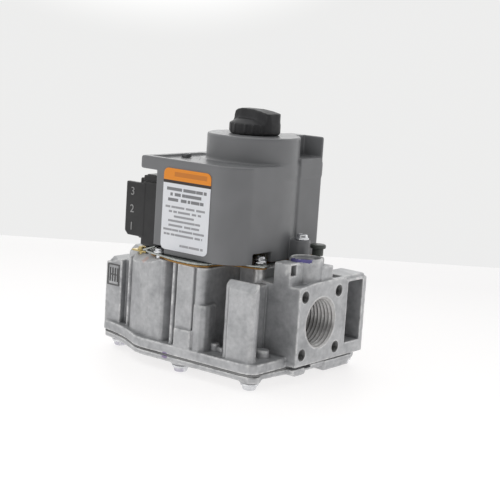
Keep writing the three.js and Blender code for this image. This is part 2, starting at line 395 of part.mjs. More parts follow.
put('shutoff_plug', cut(barZ(0, 0, 10.0, PLUG_FLOOR + 0.3, -10.6, 32), barZ(0, 0, 7.6, PLUG_FLOOR + 1.6, -13.2, 24),
  barZ(0, 0, 4.2, PLUG_FLOOR - 1, PLUG_FLOOR + 2, 16), box(-12, 0, -4.2, 4.2, PLUG_FLOOR + 1.6, -13.2),
  box(-2.8, 2.8, -1.1, 1.1, -12.4, -10)), GOLD, [KNOB_X, KNOB_Y, 0]);

// ---------------------------------------------------------------- main valve
put('main_valve_seal', ring(0, 0, 10.2, 6.4, -28.8, -28.0, 28), RUBBER, [MV_X, MV_Y, 0]);
put('main_valve_disc', turned(MV_X, MV_Y, [[2.0, -27.9], [10.4, -27.9], [10.4, -26.4], [7.2, -25.4], [2.0, -25.4], [2.0, -27.9]], 28), STEEL);
put('main_valve_stem', turned(MV_X, MV_Y, [[0, -46.5], [1.8, -46.5], [1.8, -24.6], [0, -24.6]], 16), STEEL);
put('main_valve_spring', spring(5.6, 5.4, 2.5, 0.45), STEEL, [MV_X, MV_Y, -25.2]);
put('diaphragm_plate', turned(MV_X, MV_Y, [[0, -47.9], [12, -47.9], [12, -47.2], [3.4, -47.2], [3.0, -46.7], [0, -46.7]], 28), ZINC);

// ---------------------------------------------------------------- regulator
put('regulator_cap', cut(turned(0, 0, [[0, -9.0], [5.0, -9.0], [5.55, -8.6], [5.55, -7.0], [0, -7.0]], 24), box(-6, 6, -0.7, 0.7, -7.9, -6)), STEEL, [REG_X, REG_Y, 0]);
put('regulator_adjust_screw', cut(turned(0, 0, [[0, -12.0], [5.0, -12.0], [5.45, -11.6], [5.45, -9.9], [0, -9.9]], 24), barZ(0, 0, 1.6, -11.2, -9, 6)), BLACK, [REG_X, REG_Y, 0]);
put('regulator_spring_seat', turned(REG_X, REG_Y, [[0, -13.3], [2.2, -13.3], [2.2, -12.7], [4.8, -12.7], [4.8, -12.15], [0, -12.15]], 20), STEEL);
put('regulator_spring', spring(3.4, 3.65, 2.5, 0.4), STEEL, [REG_X, REG_Y, -16.45]);

// ---------------------------------------------------------------- pilot adjuster, taps, pilot fitting, vent, screen
put('pilot_adjust_screw', cut(turned(0, 0, [[0, -16.9], [1.6, -16.0], [2.9, -15.6], [2.9, -13.4], [0, -13.4]], 16), box(-4, 4, -0.5, 0.5, -14.3, -13)), STEEL, [PILOT_X, PILOT_Y, 0]);
put('pilot_adjust_cap', cut(turned(0, 0, [[0, -12.9], [2.8, -12.9], [2.8, -9.8], [4.0, -9.8], [4.0, -8.4], [3.4, -7.9], [0, -7.9]], 20), box(-5, 5, -0.6, 0.6, -8.9, -7)), BLACK, [PILOT_X, PILOT_Y, 0]);
const plug = (y0, y1, r) => cut(barY(0, 0, r, y0, y1, 20), barY(0, 0, 1.9, y1 - 2.2, y1 + 1, 6));
put('outlet_tap_plug', plug(0, 3.0, 3.2), STEEL, [-11, 25.4, -30]);
put('inlet_tap_plug', plug(0, 3.4, 3.2), STEEL, [-90, 11.2 + 0.6, -30]);
put('pilot_fitting_nut', cut(union(barY(0, 0, 4.0, 0, 6.6, 20), barY(0, 0, 6.35, 6.3, 10.2, 6)), barY(0, 0, 2.2, -1, 8, 16), barY(0, 0, 3.3, 7.6, 12, 16)), GOLD, [-60, 28.4, -24]);
put('vent_cap', turned(0, 0, [[0, -9.6], [1.3, -9.6], [1.3, -7.4], [2.5, -7.4], [2.5, -4.4], [3.5, -4.0], [3.5, -3.0], [3.2, -2.4], [0, -2.4]], 20), BLACK, [-16.2, 11.6, 0.7]);
put('inlet_screen', turned(0, 0, [[7.9, 0], [8.6, 0], [8.6, 8.6], [0, 8.6], [0, 8.0], [7.9, 8.0], [7.9, 0]], 24).rotate([0, 90, 0]), STEEL, [-LENGTH + 10.6, PORT_Y, PORT_Z]);

group.position.set(...FRAME);
group.updateMatrixWorld(true);
export default group;
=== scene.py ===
import itertools
import json
import math

import bmesh
import bpy
import numpy as np
from mathutils import Matrix, Vector


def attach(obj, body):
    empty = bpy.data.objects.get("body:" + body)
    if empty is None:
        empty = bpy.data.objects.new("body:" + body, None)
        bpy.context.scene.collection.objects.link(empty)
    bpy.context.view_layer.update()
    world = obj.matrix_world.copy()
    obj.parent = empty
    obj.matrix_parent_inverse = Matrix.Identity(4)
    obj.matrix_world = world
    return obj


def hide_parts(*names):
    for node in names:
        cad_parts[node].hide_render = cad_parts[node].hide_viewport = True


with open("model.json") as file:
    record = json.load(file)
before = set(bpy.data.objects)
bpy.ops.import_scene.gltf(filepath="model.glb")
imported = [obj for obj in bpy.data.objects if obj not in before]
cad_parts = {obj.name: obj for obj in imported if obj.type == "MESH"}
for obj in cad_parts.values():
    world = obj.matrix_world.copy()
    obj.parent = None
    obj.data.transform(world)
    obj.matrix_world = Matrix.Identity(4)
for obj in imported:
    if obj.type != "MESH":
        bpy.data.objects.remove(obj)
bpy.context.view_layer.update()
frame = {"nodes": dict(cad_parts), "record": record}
NODES = frame["nodes"]
FRAME = np.array([50.8, 3.65, 57.3])

# ------------------------------------------------------------------ dimensions, millimetres (as in the CAD part)
LENGTH = 101.6
PORT_Y, PORT_Z = -6.0, -31.7
BORE_R, BORE_MOUTH_R, BORE_DEPTH = 9.55, 10.65, 20.0
FACE_BOLT = 12.5
SEAM_Z, FLANGE_TOP, BODY_TOP, OUT_TOP, IN_TOP = -49.9, -45.6, -10.0, -15.0, -16.4
G1, G0, C1 = -50.0, -50.6, -50.7
COVER_LIP_T, LUG_BOTTOM, FLOOR_Z = 2.4, -54.1, -57.3
PLATE_Z0, PLATE_Z1 = -9.0, -8.1
COV_FRONT, COV_LEFT, COV_RIGHT, COV_BACK = -41.0, -67.0, -22.5, 20.5
COV_BOTTOM, COV_RIM = -7.9, 33.4
VISOR_LEFT, VISOR_Z = -76.2, 27.7
KNOB_X, KNOB_Y, BOSS_R, BOSS_TOP = -42.2, -6.0, 20.5, 44.9
MV_X, MV_Y = -50.0, -6.0
REG_X, REG_Y, TOWER_TOP = -9.1, -7.1, -4.4
PILOT_X, PILOT_Y = -84.6, -22.0
BOTTOM_SCREWS = [(-95.6, -27.5), (-47.5, -40.6), (-10.2, -40.2), (-9.6, 28.0), (-48.5, 28.2), (-94.8, 9.6)]
PLATE_SCREWS = [(-64.0, -39.4), (-22.9, -21.4), (-70.0, 24.0)]
LUG_SCREW = (-18.2, 1.6)
VENT = (-16.2, 11.6)

# ------------------------------------------------------------------ camera
cam_data = bpy.data.cameras.new("camera")
cam_data.lens, cam_data.sensor_width = 93.6, 36.0
cam_data.clip_start, cam_data.clip_end = 0.01, 20.0
camera = bpy.data.objects.new("camera", cam_data)
bpy.context.scene.collection.objects.link(camera)
AZ, EL, ROLL = 37.23592406, 9.69487222, 3.73750206


def camera_matrix():
    a, e, rr = math.radians(AZ), math.radians(EL), math.radians(ROLL)
    back = np.array([math.sin(a) * math.cos(e), -math.cos(a) * math.cos(e), math.sin(e)])
    right = np.array([math.cos(a), math.sin(a), 0.0])
    up = np.cross(right, -back)
    base = np.array([right, -up, -back])
    turn = np.array([[math.cos(rr), -math.sin(rr), 0], [math.sin(rr), math.cos(rr), 0], [0, 0, 1]])
    r = turn @ base
    place = (np.array([303.43482972, -458.46565006, 90.66801505]) + FRAME) / 1000
    m = Matrix.Identity(4)
    for i in range(3):
        m[i][0], m[i][1], m[i][2], m[i][3] = r[0][i], -r[1][i], -r[2][i], place[i]
    return m


camera.matrix_world = camera_matrix()
bpy.context.scene.camera = camera


# ------------------------------------------------------------------ distance fields
def poly_sd(px, py, pts):
    shape = np.broadcast(px, py).shape
    d = np.full(shape, 1e9, np.float32)
    inside = np.zeros(shape, bool)
    for (ax, ay), (bx, by) in zip(pts, list(pts[1:]) + [pts[0]]):
        ex, ey = bx - ax, by - ay
        ll = ex * ex + ey * ey
        if ll < 1e-12:
            continue
        wx, wy = px - ax, py - ay
        t = np.clip((wx * ex + wy * ey) / ll, 0, 1)
        d = np.minimum(d, (wx - ex * t) ** 2 + (wy - ey * t) ** 2)
        if ay != by:
            cross = ((ay <= py) & (by > py)) | ((by <= py) & (ay > py))
            inside ^= cross & (px < ex * (py - ay) / ey + ax)
    d = np.sqrt(d)
    return np.where(inside, -d, d).astype(np.float32)


def ext(d2, dz, r=0.0):
    if r:
        d2, dz = d2 + r, dz + r
    return np.minimum(np.maximum(d2, dz), 0) + np.sqrt(np.maximum(d2, 0) ** 2 + np.maximum(dz, 0) ** 2) - r


def prism(pts, z0, z1, r=0.0, axis=2, draft=0.0):
    """Outline pulled along an axis: axis 2 takes (x, y) points, 1 takes (x, z), 0 takes (y, z)."""
    pts = [(float(a), float(b)) for a, b in pts]
    u = [a for a in range(3) if a != axis]
    lo, hi = [0, 0, 0], [0, 0, 0]
    for k in (0, 1):
        lo[u[k]], hi[u[k]] = min(p[k] for p in pts), max(p[k] for p in pts)
    lo[axis], hi[axis] = z0, z1

    def f(c):
        d2 = poly_sd(c[u[0]], c[u[1]], pts)
        if draft:
            d2 = d2 + (c[axis] - z0) * draft
        return ext(d2, np.maximum(z0 - c[axis], c[axis] - z1), r)

    return (lo, hi), f


def box(x0, x1, y0, y1, z0, z1, r=0.0):
    lo, hi = (x0, y0, z0), (x1, y1, z1)

    def f(c):
        q = [np.maximum(lo[a] - c[a], c[a] - hi[a]) + r for a in range(3)]
        out = np.sqrt(sum(np.maximum(a, 0) ** 2 for a in q))
        return out + np.minimum(np.maximum(np.maximum(q[0], q[1]), q[2]), 0) - r

    return (lo, hi), f


def bar(u0, v0, rad, a0, a1, axis=2, r=0.0, r1=None):
    """Round bar or cone along an axis; (u0, v0) is its centre in the other two coordinates."""
    u = [a for a in range(3) if a != axis]
    big = max(rad, r1 if r1 is not None else rad)
    lo, hi = [0, 0, 0], [0, 0, 0]
    lo[u[0]], hi[u[0]], lo[u[1]], hi[u[1]], lo[axis], hi[axis] = u0 - big, u0 + big, v0 - big, v0 + big, a0, a1

    def f(c):
        rr = np.sqrt((c[u[0]] - u0) ** 2 + (c[u[1]] - v0) ** 2)
        radius = rad if r1 is None else rad + (r1 - rad) * np.clip((c[axis] - a0) / (a1 - a0), 0, 1)
        return ext(rr - radius, np.maximum(a0 - c[axis], c[axis] - a1), r)

    return (lo, hi), f


def turned(u0, v0, profile, axis=2):
    """Body of revolution; profile is a closed outline of (radius, along) points."""
    u = [a for a in range(3) if a != axis]
    big = max(p[0] for p in profile)
    lo, hi = [0, 0, 0], [0, 0, 0]
    lo[u[0]], hi[u[0]], lo[u[1]], hi[u[1]] = u0 - big, u0 + big, v0 - big, v0 + big
    lo[axis], hi[axis] = min(p[1] for p in profile), max(p[1] for p in profile)
    pts = [(float(a), float(b)) for a, b in profile]
    pts = pts + [(-a, b) for a, b in reversed(pts)]  # mirrored, so the axis isn't an edge

    def f(c):
        return poly_sd(np.sqrt((c[u[0]] - u0) ** 2 + (c[u[1]] - v0) ** 2), c[axis], pts)

    return (lo, hi), f


def minus(a, *others):
    def f(c):
        d = a[1](c)
        for o in others:
            d = np.maximum(d, -o[1](c))
        return d

    return a[0], f


def both(a, *others):
    def f(c):
        d = a[1](c)
        for o in others:
            d = np.maximum(d, o[1](c))
        return d

    return a[0], f


def arc(cx, cy, r, a0, a1, n):
    return [(cx + r * math.cos(math.radians(a0 + (a1 - a0) * i / n)), cy + r * math.sin(math.radians(a0 + (a1 - a0) * i / n)))
            for i in range(n + 1)]


def spline(pts, n=6):
    """Smooth curve through the points, without the last one."""
    out = []
    p = [pts[0]] + list(pts) + [pts[-1]]
    for i in range(1, len(p) - 2):
        for k in range(n):
            t = k / n
            out.append(tuple(
                0.5 * (2 * p[i][j] + (p[i + 1][j] - p[i - 1][j]) * t
                       + (2 * p[i - 1][j] - 5 * p[i][j] + 4 * p[i + 1][j] - p[i + 2][j]) * t * t
                       + (3 * p[i][j] - p[i - 1][j] - 3 * p[i + 1][j] + p[i + 2][j]) * t ** 3) for j in (0, 1)))
    return out


def rounded(x0, x1, y0, y1, r, n=6):
    return (arc(x1 - r, y1 - r, r, 0, 90, n) + arc(x0 + r, y1 - r, r, 90, 180, n)
            + arc(x0 + r, y0 + r, r, 180, 270, n) + arc(x1 - r, y0 + r, r, 270, 360, n))


def blurred(f, s):
    """f smoothed by a Gaussian of s voxels."""
    r = max(1, int(math.ceil(2.6 * s)))
    k = np.exp(-0.5 * (np.arange(-r, r + 1) / s) ** 2)
    k = (k / k.sum()).astype(np.float32)
    for ax in range(3):
        p = np.pad(f, [(r, r) if a == ax else (0, 0) for a in range(3)], mode="edge")
        g = np.zeros_like(f)
        for i, w in enumerate(k):
            sl = [slice(None)] * 3
            sl[ax] = slice(i, i + f.shape[ax])
            g += w * p[tuple(sl)]
        f = g
    return f


class Field:
    def __init__(self, lo, hi, h):
        self.h, self.lo = h, np.array(lo, float)
        n = [int(math.ceil((b - a) / h)) + 1 for a, b in zip(lo, hi)]
        self.x = [(a + h * np.arange(k)).astype(np.float32) for a, k in zip(lo, n)]
        self.f = np.full(n, 3.0, np.float32)

    def _window(self, b, pad=3.5):
        s = []
        for a in range(3):
            i0 = max(0, int((b[0][a] - pad - self.lo[a]) / self.h))
            i1 = min(len(self.x[a]), int(math.ceil((b[1][a] + pad - self.lo[a]) / self.h)) + 1)
            if i1 <= i0:
                return None, None
            s.append(slice(i0, i1))
        shape = [(slice(None), None, None), (None, slice(None), None), (None, None, slice(None))]
        return tuple(s), [self.x[a][s[a]][shape[a]] for a in range(3)]

    def add(self, *prims, k=0.0):
        for b, f in prims:
            s, c = self._window(b)
            if s is None:
                continue
            d, old = f(c), self.f[s]
            if k:
                m = np.maximum(k - np.abs(old - d), 0) / k
                self.f[s] = np.minimum(old, d) - m * m * k * 0.25
            else:
                self.f[s] = np.minimum(old, d)
        return self

    def cut(self, *prims, k=0.0):
        for b, f in prims:
            s, c = self._window(b)
            if s is None:
                continue
            d, old = -f(c), self.f[s]
            if k:
                m = np.maximum(k - np.abs(old - d), 0) / k
                self.f[s] = np.maximum(old, d) + m * m * k * 0.25
            else:
                self.f[s] = np.maximum(old, d)
        return self

    def blur(self, mm):
        self.f = blurred(np.clip(self.f, -3, 3), mm / self.h)
        return self

    def ripple(self, amount, size, seed, where=None):
        """Adds a soft random waviness of the given height and size, millimetres, as of a casting's skin."""
        rng = np.random.default_rng(seed)
        n = [max(4, int(len(x) * self.h / size) + 3) for x in self.x]
        g = rng.standard_normal(n).astype(np.float32)
        for ax in range(3):
            t = (self.x[ax] - self.x[ax][0]) / size
            i = np.clip(t.astype(int), 0, n[ax] - 2)
            w = (t - i).astype(np.float32)
            w = w * w * (3 - 2 * w)
            sh = [1, 1, 1]
            sh[ax] = -1
            g = np.take(g, i, ax) * (1 - w.reshape(sh)) + np.take(g, i + 1, ax) * w.reshape(sh)
        self.f += amount * g
        return self

    def sample(self, v, f=None):
        f = self.f if f is None else f
        t = (v - self.lo) / self.h
        n = np.array(f.shape) - 2
        i = np.clip(t.astype(np.int32), 0, n)
        w = np.clip(t - i, 0, 1)
        out = 0
        for a in itertools.product((0, 1), repeat=3):
            k = np.ones(len(v))
            for ax in range(3):
                k = k * (w[:, ax] if a[ax] else 1 - w[:, ax])
            out = out + k * f[i[:, 0] + a[0], i[:, 1] + a[1], i[:, 2] + a[2]]
        return out

    def gradient(self, v):
        e = self.h * 0.5
        g = np.empty_like(v)
        for ax in range(3):
            d = np.zeros(3)
            d[ax] = e
            g[:, ax] = self.sample(v + d) - self.sample(v - d)
        return g / (np.linalg.norm(g, axis=1, keepdims=True) + 1e-9)

    def mesh(self):
        f, s = self.f, self.f < 0
        nx, ny, nz = f.shape
        count = np.zeros((nx - 1, ny - 1, nz - 1), np.int8)
        for a in itertools.product((0, 1), repeat=3):
            count += s[a[0]:nx - 1 + a[0], a[1]:ny - 1 + a[1], a[2]:nz - 1 + a[2]]
        active = (count > 0) & (count < 8)
        ids = np.full(active.shape, -1, np.int32)
        cells = np.argwhere(active)
        ids[active] = np.arange(len(cells))
        i, j, k = cells.T
        val = {a: f[i + a[0], j + a[1], k + a[2]] for a in itertools.product((0, 1), repeat=3)}
        acc, n = np.zeros((len(cells), 3)), np.zeros(len(cells))
        for ax in range(3):
            for a in itertools.product((0, 1), repeat=3):
                if a[ax]:
                    continue
                b = tuple(1 if q == ax else a[q] for q in range(3))
                va, vb = val[a], val[b]
                m = (va < 0) != (vb < 0)
                t = np.where(m, va / np.where(m, va - vb, 1), 0)
                p = np.repeat(np.array(a, float)[None], len(cells), 0)
                p[:, ax] += t
                acc[m] += p[m]
                n[m] += 1
        v = (cells + acc / n[:, None]) * self.h + self.lo
        quads = []
        for ax in range(3):
            u = [(ax + 1) % 3, (ax + 2) % 3]
            a0, a1 = [slice(1, -1)] * 3, [slice(1, -1)] * 3
            a0[ax], a1[ax] = slice(0, -1), slice(1, None)
            low, high = s[tuple(a0)], s[tuple(a1)]
            e = np.argwhere(low != high)
            inside_low = low[tuple(e.T)]
            off = np.ones(3, int)
            off[ax] = 0
            e = e + off

            def cell(du, dv):
                c = e.copy()
                c[:, u[0]] += du
                c[:, u[1]] += dv
                return ids[c[:, 0], c[:, 1], c[:, 2]]

            q = np.stack([cell(-1, -1), cell(0, -1), cell(0, 0), cell(-1, 0)], 1)
            q[~inside_low] = q[~inside_low][:, ::-1]
            quads.append(q)
        q = np.concatenate(quads)
        q = q[(q >= 0).all(1)]
        for _ in range(2):
            d = np.clip(self.sample(v), -0.5 * self.h, 0.5 * self.h)
            v = v - self.gradient(v) * d[:, None]
        return v, q


# ------------------------------------------------------------------ pieces
MATERIALS = {}


def link(name, me):
    o = bpy.data.objects.new(name, me)
    bpy.context.scene.collection.objects.link(o)
    return o


def raw_mesh(name, v, faces):
    me = bpy.data.meshes.new(name)
    v = np.asarray(v, np.float32)
    faces = np.asarray(faces, np.int32)
    n = faces.shape[1]
    me.vertices.add(len(v))
    me.vertices.foreach_set("co", v.ravel())
    me.loops.add(faces.size)
    me.loops.foreach_set("vertex_index", faces.ravel())
    me.polygons.add(len(faces))
    me.polygons.foreach_set("loop_start", np.arange(0, faces.size, n, dtype=np.int32))
    me.update(calc_edges=True)
    return me


def settle(o, body, material, nodes=()):
    """Puts a piece drawn in millimetres in the row frame, and gives it its body, finish and the CAD nodes it stands for."""
    o.data.transform(Matrix.Scale(0.001, 4) @ Matrix.Translation(Vector(FRAME)))
    o.data.materials.clear()
    o.data.materials.append(MATERIALS[material])
    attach(o, body)
    if nodes:
        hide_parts(*nodes)
    return o


def field_piece(name, field, triangles, wear=0.9, dirt=True):
    """Meshes a field, thins flat areas, and stores an edge measure (used for edge wear, and for dirt and painted shade
    in hollows) and surface normals.
    """
    v, q = field.mesh()
    o = link(name, raw_mesh(name, v, q))
    if len(q) * 2 > triangles:
        m = o.modifiers.new("thin", "DECIMATE")
        m.ratio = triangles / (len(q) * 2)
        got = bpy.data.meshes.new_from_object(o.evaluated_get(bpy.context.evaluated_depsgraph_get()))
        o.modifiers.clear()
        old, o.data = o.data, got
        bpy.data.meshes.remove(old)
    me = o.data
    co = np.empty(len(me.vertices) * 3, np.float32)
    me.vertices.foreach_get("co", co)
    co = co.reshape(-1, 3).astype(float)
    if wear:
        soft = blurred(np.clip(field.f, -3, 3), wear / field.h)
        edge = field.sample(co, soft)
        a = me.attributes.new("edge", "FLOAT", "POINT")
        a.data.foreach_set("value", edge.astype(np.float32))
    me.shade_smooth()
    me.normals_split_custom_set_from_vertices([tuple(n) for n in field.gradient(co)])
    return o


def lathe_grid(name, rings, closed=True):
    """Skin over rings of equal length; the first and last rings join when closed."""
    rings = np.asarray(rings, float)
    m, n = rings.shape[:2]
    v = rings.reshape(-1, 3)
    f = []
    for i in range(m if closed else m - 1):
        for j in range(n):
            a, b = i, (i + 1) % m
            f.append((a * n + j, a * n + (j + 1) % n, b * n + (j + 1) % n, b * n + j))
    me = raw_mesh(name, v, f)
    bm = bmesh.new()
    bm.from_mesh(me)
    bmesh.ops.recalc_face_normals(bm, faces=bm.faces)
    bm.to_mesh(me)
    bm.free()
    return me


def thread_sleeve(name, length, r0, r1, pitch, depth, mouth, wall, h, triangles):
    """Wall of a tapped hole with its helical thread, about the X axis, its mouth at X = 0, going in along -X."""
    f = Field((-length - 0.6, -wall - 0.6, -wall - 0.6), (0.6, wall + 0.6, wall + 0.6), h)
    x, y, z = f.x[0][:, None, None], f.x[1][None, :, None], f.x[2][None, None, :]
    r = np.sqrt(y ** 2 + z ** 2)
    turn = np.arctan2(z, y) / (2 * math.pi)
    phase = (-x / pitch - turn) % 1.0
    groove = np.clip(np.abs(phase - 0.5) * 2.5 - 0.15, 0, 1)
    t = np.clip(-x / length, 0, 1)
    base = r0 + (r1 - r0) * t
    radius = np.maximum(base + depth * groove, base + (mouth - r0) * np.clip(1 + x / (pitch * 0.7), 0, 1))
    f.f = np.maximum(np.maximum((radius - r) * 0.75, r - wall), np.maximum(x, -length - x)).astype(np.float32)
    f.blur(h * 0.55)
    return field_piece(name, f, triangles, wear=0)


# ------------------------------------------------------------------ materials
class Nodes:
    def __init__(self, name):
        self.m = bpy.data.materials.new(name)
        self.m.use_nodes = True
        self.t = self.m.node_tree
        self.b = next(n for n in self.t.nodes if n.type == "BSDF_PRINCIPLED")
        self.coord = self.t.nodes.new("ShaderNodeTexCoord").outputs["Object"]
        MATERIALS[name] = self.m

    def link(self, a, b):
        self.t.links.new(a, b)

    def noise(self, scale, detail=3.0, rough=0.55, distort=0.0, stretch=None):
        n = self.t.nodes.new("ShaderNodeTexNoise")
        n.inputs["Scale"].default_value = scale
        n.inputs["Detail"].default_value = detail
        n.inputs["Roughness"].default_value = rough
        n.inputs["Distortion"].default_value = distort
        c = self.coord
        if stretch:
            mp = self.t.nodes.new("ShaderNodeMapping")
            mp.inputs["Scale"].default_value = stretch
            self.link(c, mp.inputs["Vector"])
            c = mp.outputs["Vector"]
        self.link(c, n.inputs["Vector"])
        return n.outputs["Fac"]

    def attribute(self, name="edge"):
        n = self.t.nodes.new("ShaderNodeAttribute")
        n.attribute_name = name
        return n.outputs["Fac"]

    def ramp(self, fac, lo, hi, out_lo=0.0, out_hi=1.0):
        n = self.t.nodes.new("ShaderNodeMapRange")
        n.clamp = True
        n.inputs["From Min"].default_value, n.inputs["From Max"].default_value = lo, hi
        n.inputs["To Min"].default_value, n.inputs["To Max"].default_value = out_lo, out_hi
        self.link(fac, n.inputs["Value"])
        return n.outputs["Result"]

    def math(self, op, a, b):
        n = self.t.nodes.new("ShaderNodeMath")
        n.operation = op
        n.use_clamp = op in ("ADD", "MULTIPLY", "SUBTRACT")
        for s, v in ((n.inputs[0], a), (n.inputs[1], b)):
            if isinstance(v, (int, float)):
                s.default_value = v
            else:
                self.link(v, s)
        return n.outputs[0]

    def mix(self, fac, a, b):
        n = self.t.nodes.new("ShaderNodeMix")
        n.data_type = "RGBA"
        for s, v in ((n.inputs[0], fac), (n.inputs[6], a), (n.inputs[7], b)):
            if isinstance(v, (int, float)):
                s.default_value = v
            elif isinstance(v, tuple):
                s.default_value = (*v, 1.0)
            else:
                self.link(v, s)
        return n.outputs[2]

    def bump(self, height, distance, strength=1.0, chain=None):
        n = self.t.nodes.new("ShaderNodeBump")
        n.inputs["Distance"].default_value = distance
        n.inputs["Strength"].default_value = strength
        self.link(height, n.inputs["Height"])
        if chain is not None:
            self.link(chain, n.inputs["Normal"])
        return n.outputs["Normal"]

    def daub(self, centre, size, edge=0.35):
        """1 inside a ragged spot of paint about centre (millimetres, drawing frame), 0 outside."""
        mp = self.t.nodes.new("ShaderNodeMapping")
        mp.vector_type = "POINT"
        c = (np.array(centre) + FRAME) / 1000
        s = [1000.0 / v for v in size]
        mp.inputs["Scale"].default_value = s
        mp.inputs["Location"].default_value = [-float(a) * b for a, b in zip(c, s)]
        self.link(self.coord, mp.inputs["Vector"])
        ln = self.t.nodes.new("ShaderNodeVectorMath")
        ln.operation = "LENGTH"
        self.link(mp.outputs["Vector"], ln.inputs[0])
        n = self.t.nodes.new("ShaderNodeMath")
        n.operation = "ADD"
        self.link(ln.outputs["Value"], n.inputs[0])
        self.link(self.ramp(self.noise(900, 3), 0.25, 0.75, -edge, edge), n.inputs[1])
        return self.ramp(n.outputs[0], 0.85, 1.0, 1.0, 0.0)

    def done(self, color=None, rough=None, normal=None, metallic=0.0, spec=None, coat=None):
        for key, v in (("Base Color", color), ("Roughness", rough), ("Normal", normal)):
            if v is None:
                continue
            if isinstance(v, (int, float)):
                self.b.inputs[key].default_value = v
            elif isinstance(v, tuple):
                self.b.inputs[key].default_value = (*v, 1.0)
            else:
                self.link(v, self.b.inputs[key])
        self.b.inputs["Metallic"].default_value = metallic
        if spec is not None:
            self.b.inputs["Specular IOR Level"].default_value = spec
        if coat is not None:
            self.b.inputs["Coat Weight"].default_value = coat
        return self.m


def cast_metal(name, dark, light, bright, daubs=(), metallic=0.62, wear=(0.05, 0.16), rough=(0.40, 0.56)):
    n = Nodes(name)
    big, mid, fine = n.noise(70, 3, 0.6, 0.4), n.noise(420, 4, 0.6), n.noise(2600, 2, 0.6)
    patch = n.math("ADD", n.math("MULTIPLY", big, 0.55), n.math("MULTIPLY", mid, 0.45))
    color = n.mix(n.ramp(patch, 0.36, 0.64), dark, light)
    edge = n.attribute()
    # dirt and painted shade: colour darkened towards a dark tone in hollows and inside corners, where the edge measure
    # is negative
    hollow_grime_and_shade = n.math("MULTIPLY", n.ramp(edge, -0.03, -0.15), n.ramp(mid, 0.2, 0.6, 0.5, 1.0))
    color = n.mix(n.math("MULTIPLY", hollow_grime_and_shade, 0.75), color, tuple(c * 0.45 for c in dark))
    worn = n.math("MULTIPLY", n.ramp(edge, *wear), n.ramp(n.noise(260, 4, 0.65), 0.38, 0.6))
    color = n.mix(n.math("MULTIPLY", worn, 0.6), color, bright)
    for centre, size, paint, amount in daubs:
        color = n.mix(n.math("MULTIPLY", n.daub(centre, size), amount), color, paint)
    r = n.ramp(n.math("ADD", n.math("MULTIPLY", mid, 0.6), n.math("MULTIPLY", fine, 0.4)), 0.3, 0.7, rough[0], rough[1])
    b = n.bump(fine, 0.00006, 0.35)
    b = n.bump(mid, 0.00018, 0.35, b)
    n.done(color, r, b, metallic)


def moulded(name, dark, light, rough=(0.42, 0.55), grain=3200, depth=0.00002, wear=None, spec=0.4):
    n = Nodes(name)
    big, fine = n.noise(55, 2), n.noise(grain, 2, 0.5)
    color = n.mix(n.ramp(big, 0.3, 0.7), dark, light)
    if wear:
        worn = n.math("MULTIPLY", n.ramp(n.attribute(), 0.05, 0.2), n.ramp(n.noise(500, 3), 0.35, 0.65))
        color = n.mix(n.math("MULTIPLY", worn, 0.6), color, wear)
    n.done(color, n.ramp(n.noise(300, 3), 0.3, 0.7, rough[0], rough[1]), n.bump(fine, depth, 0.4), 0.0, spec)


def sheet_metal(name, dark, light, rough=(0.22, 0.4), metallic=0.95, brush=None, daubs=(), grain=0.4):
    n = Nodes(name)
    mid, fine = n.noise(600, 3, 0.6), n.noise(2400, 2, 0.6, stretch=brush)
    color = n.mix(n.ramp(mid, 0.32, 0.68), dark, light)
    for centre, size, paint, amount in daubs:
        color = n.mix(n.math("MULTIPLY", n.daub(centre, size), amount), color, paint)
    n.done(color, n.ramp(n.noise(900, 3), 0.3, 0.7, rough[0], rough[1]), n.bump(fine, 0.00002, grain), metallic)


PURPLE, MAUVE = (0.10, 0.085, 0.30), (0.24, 0.17, 0.34)
cast_metal("cast_aluminium", (0.33, 0.335, 0.345), (0.53, 0.535, 0.545), (0.88, 0.88, 0.87), [
    ((-5.6, -12.6, -5.0), (3.8, 2.6, 1.1), PURPLE, 0.9),
    ((-10.4, -14.6, -5.3), (3.6, 1.9, 0.9), PURPLE, 0.9),
    ((-52.6, -45.9, -49.6), (1.5, 1.4, 0.6), MAUVE, 0.8),
    ((-72.6, -39.8, -12.0), (2.4, 2.4, 1.6), (0.60, 0.32, 0.24), 0.4),
])
cast_metal("cast_cover", (0.34, 0.345, 0.355), (0.55, 0.555, 0.565), (0.88, 0.88, 0.87), [
    ((-52.6, -45.7, -51.2), (1.5, 1.4, 0.7), MAUVE, 0.8),
])
sheet_metal("thread_metal", (0.42, 0.415, 0.41), (0.56, 0.555, 0.55), (0.36, 0.44), metallic=0.8, grain=0.1)
# painted shade: the threads of the small tapped holes are near black, standing in for the shade inside the holes
sheet_metal("thread_shade_dark", (0.10, 0.10, 0.10), (0.16, 0.16, 0.16), (0.34, 0.44), metallic=0.8, grain=0.2)
sheet_metal("zinc_plate", (0.30, 0.32, 0.30), (0.46, 0.48, 0.46), (0.22, 0.36))
sheet_metal("screw_zinc", (0.60, 0.61, 0.63), (0.80, 0.81, 0.83), (0.16, 0.3), daubs=[
    ((-95.6, -27.5, -56.4), (3.4, 3.6, 1.4), MAUVE, 0.3),
    ((-47.5, -42.8, -56.4), (3.4, 2.6, 1.0), MAUVE, 0.3),
])
sheet_metal("steel", (0.32, 0.32, 0.33), (0.55, 0.55, 0.56), (0.25, 0.4))
sheet_metal("brass", (0.40, 0.31, 0.12), (0.62, 0.50, 0.25), (0.22, 0.4))
sheet_metal("copper_wire", (0.50, 0.22, 0.10), (0.72, 0.36, 0.18), (0.25, 0.4), brush=(1, 1, 30))
moulded("grey_plastic", (0.155, 0.158, 0.164), (0.180, 0.183, 0.190), (0.30, 0.40), spec=0.5)
moulded("black_plastic", (0.013, 0.013, 0.014), (0.024, 0.024, 0.025), (0.36, 0.50), wear=(0.07, 0.07, 0.07), spec=0.4)
moulded("dark_plastic", (0.016, 0.016, 0.018), (0.026, 0.026, 0.028), (0.42, 0.56), wear=(0.08, 0.08, 0.08), spec=0.3)
moulded("vent_plastic", (0.07, 0.08, 0.07), (0.10, 0.11, 0.10), (0.4, 0.5), spec=0.4)
